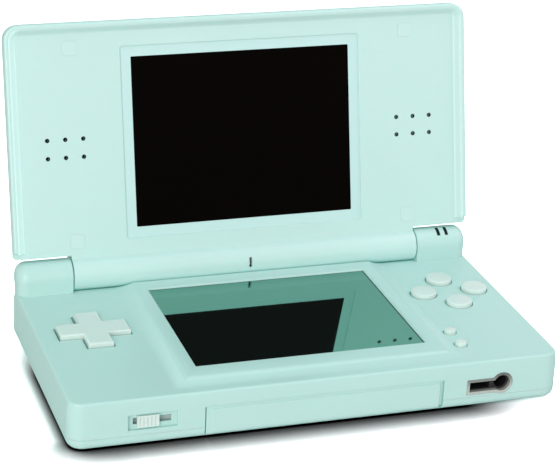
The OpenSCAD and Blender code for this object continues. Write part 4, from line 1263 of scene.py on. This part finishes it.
@dataclass
class Studio:
    """Camera, lamps, world and floor.

    Attributes:
        azimuth: the camera's place round the object in degrees.
        elevation: its height in degrees.
        roll: its roll in degrees.
        distance: how far it stands from its target, in metres.
        target: what it looks at.
        lens: focal length on a 36 mm wide sensor.
        ambient: strength of the pale surroundings in each colour.
        floor_gain: how bright the floor looks to the camera.
        floor_bounce: how pale it is for the light that it gives back.
        floor_drop: how far it lies below the object, in metres.
        shade_reach: how far the painted contact shadow reaches at the sides and in front, in metres.
        shade_power: how it falls off at the sides and in front.
        shade_front: places along Y in metres between which the sides' shadow turns into the front's.
        shade_side: places along Y between which the shadow fades out towards the back.
        shade_right: places along X between which it fades out towards the right.
        lamps: the lamps.
    """

    azimuth: float = -19.145
    elevation: float = 22.954
    roll: float = 2.827
    distance: float = 0.54818
    target: Point = (-0.001262, 0.0, 0.038265)
    lens: float = 36 * 2065.3 / 560
    ambient: Colour = (0.4, 0.47, 0.44)
    floor_gain: float = 2.5
    floor_bounce: float = 0.75
    floor_drop: float = 0.00004
    shade_reach: Place = (0.0042, 0.0122)
    shade_power: Place = (2.1, 3.2)
    shade_front: Place = (-0.03, -0.038)
    shade_side: Place = (0.004, 0.034)
    shade_right: Place = (0.04, 0.072)
    lamps: tuple[Lamp, ...] = (
        Lamp("over_front", (-0.6, -0.85, 0.38), (0, 0, 0.03), 0.8, 9.0, (1.0, 0.86, 0.89)),
        Lamp("beside_right", (0.32, -0.05, 0.34), (0.03, 0, 0.03), 0.25, 0.72, (1.0, 0.78, 0.9)),
        Lamp("over_back", (0.0, 0.2, 0.7), (0, 0, 0.0), 0.5, 0.6, (0.4, 1.0, 1.0)),
    )

    def camera(self) -> None:
        """Places the camera where the photograph was taken from."""
        a, e, r = (math.radians(v) for v in (self.azimuth, self.elevation, self.roll))
        back = Vector((math.sin(a) * math.cos(e), -math.cos(a) * math.cos(e), math.sin(e)))
        right = (-back).cross(Vector((0, 0, 1))).normalized()
        up = right.cross(-back)
        across = right * math.cos(r) + up * math.sin(r)
        above = up * math.cos(r) - right * math.sin(r)
        data = bpy.data.cameras.new("camera")
        data.sensor_fit = "HORIZONTAL"
        data.sensor_width = 36.0
        data.lens = self.lens
        data.clip_start = 0.01
        data.clip_end = 100.0
        thing = placed(bpy.data.objects.new("camera", data))
        turn = Matrix((across, above, back)).transposed().to_4x4()
        thing.matrix_world = Matrix.Translation(Vector(self.target) + back * self.distance) @ turn
        bpy.context.scene.camera = thing

    def world(self) -> None:
        """White surroundings, plain for the object and full white for the camera and for gloss."""
        world = bpy.data.worlds.new("surroundings")
        bpy.context.scene.world = world
        world.use_nodes = True
        tree = world.node_tree
        tree.nodes.clear()
        way = add(tree, "ShaderNodeLightPath").outputs
        seen = reckon(tree, "MAXIMUM", way["Is Camera Ray"], way["Is Glossy Ray"])
        plain, bright = (add(tree, "ShaderNodeBackground", {"Color": (*colour, 1), "Strength": 1.0}).outputs[0]
                         for colour in (self.ambient, (1, 1, 1)))
        share = reckon(tree, "MAXIMUM", seen, way["Is Transmission Ray"])
        mix = add(tree, "ShaderNodeMixShader", {0: share, 1: plain, 2: bright})
        add(tree, "ShaderNodeOutputWorld", {"Surface": mix.outputs[0]})

    def floor(self) -> None:
        """A wide pale floor that keeps the object's real shadow and adds, for the camera, a painted contact shadow."""
        material = bpy.data.materials.new("studio_floor")
        material.use_nodes = True
        tree = material.node_tree
        tree.nodes.clear()
        # Painted contact shadow: ambient occlusion darkens the floor for the camera, faded out by place towards the
        # back and the right.
        along = spot(tree, 1)
        reach = ramp(tree, along, self.shade_front, self.shade_reach)
        near = add(tree, "ShaderNodeAmbientOcclusion", {"Distance": reach}, samples=24).outputs["AO"]
        power = ramp(tree, along, self.shade_front, self.shade_power)
        fall = reckon(tree, "POWER", ramp(tree, near, (0.3, 1.0)), power)
        kept = reckon(tree, "MULTIPLY", ramp(tree, along, self.shade_side, (1.0, 0.0), "SMOOTHSTEP"),
                      ramp(tree, spot(tree, 0), self.shade_right, (1.0, 0.0), "SMOOTHSTEP"))
        blend = add(tree, "ShaderNodeMix", {0: kept, 2: 1.0, 3: fall})
        tint = mixed(tree, blend.outputs[0], (0, 0, 0), (self.floor_gain,) * 3)
        seen = add(tree, "ShaderNodeBsdfDiffuse", {"Color": tint})
        unseen = add(tree, "ShaderNodeBsdfDiffuse", {"Color": (*(self.floor_bounce,) * 3, 1)})
        way = add(tree, "ShaderNodeLightPath").outputs["Is Camera Ray"]
        mix = add(tree, "ShaderNodeMixShader", {0: way, 1: unseen.outputs[0], 2: seen.outputs[0]})
        add(tree, "ShaderNodeOutputMaterial", {"Surface": mix.outputs[0]})
        bm = bmesh.new()
        bmesh.ops.create_grid(bm, x_segments=8, y_segments=8, size=6.0)
        mesh = bpy.data.meshes.new("floor")
        bm.to_mesh(mesh)
        bm.free()
        mesh.materials.append(material)
        thing = placed(bpy.data.objects.new("floor", mesh))
        thing.location.z = -self.floor_drop

    def build(self) -> None:
        """Builds the whole studio."""
        self.camera()
        self.world()
        self.floor()
        for lamp in self.lamps:
            lamp.build()
        bpy.context.scene.view_settings.view_transform = "Standard"


def main() -> None:
    """Builds the studio and every sub-assembly."""
    logging.basicConfig(level=logging.INFO, format="%(name)s: %(message)s")
    Studio().build()
    bench = Bench(Finishes(Effects()))
    BaseShells(bench).build()
    Lid(bench).build()
    Controls(bench).build()
    Plain(bench).build()
    Screws(bench).build()


if __name__ == "__main__":
    main()
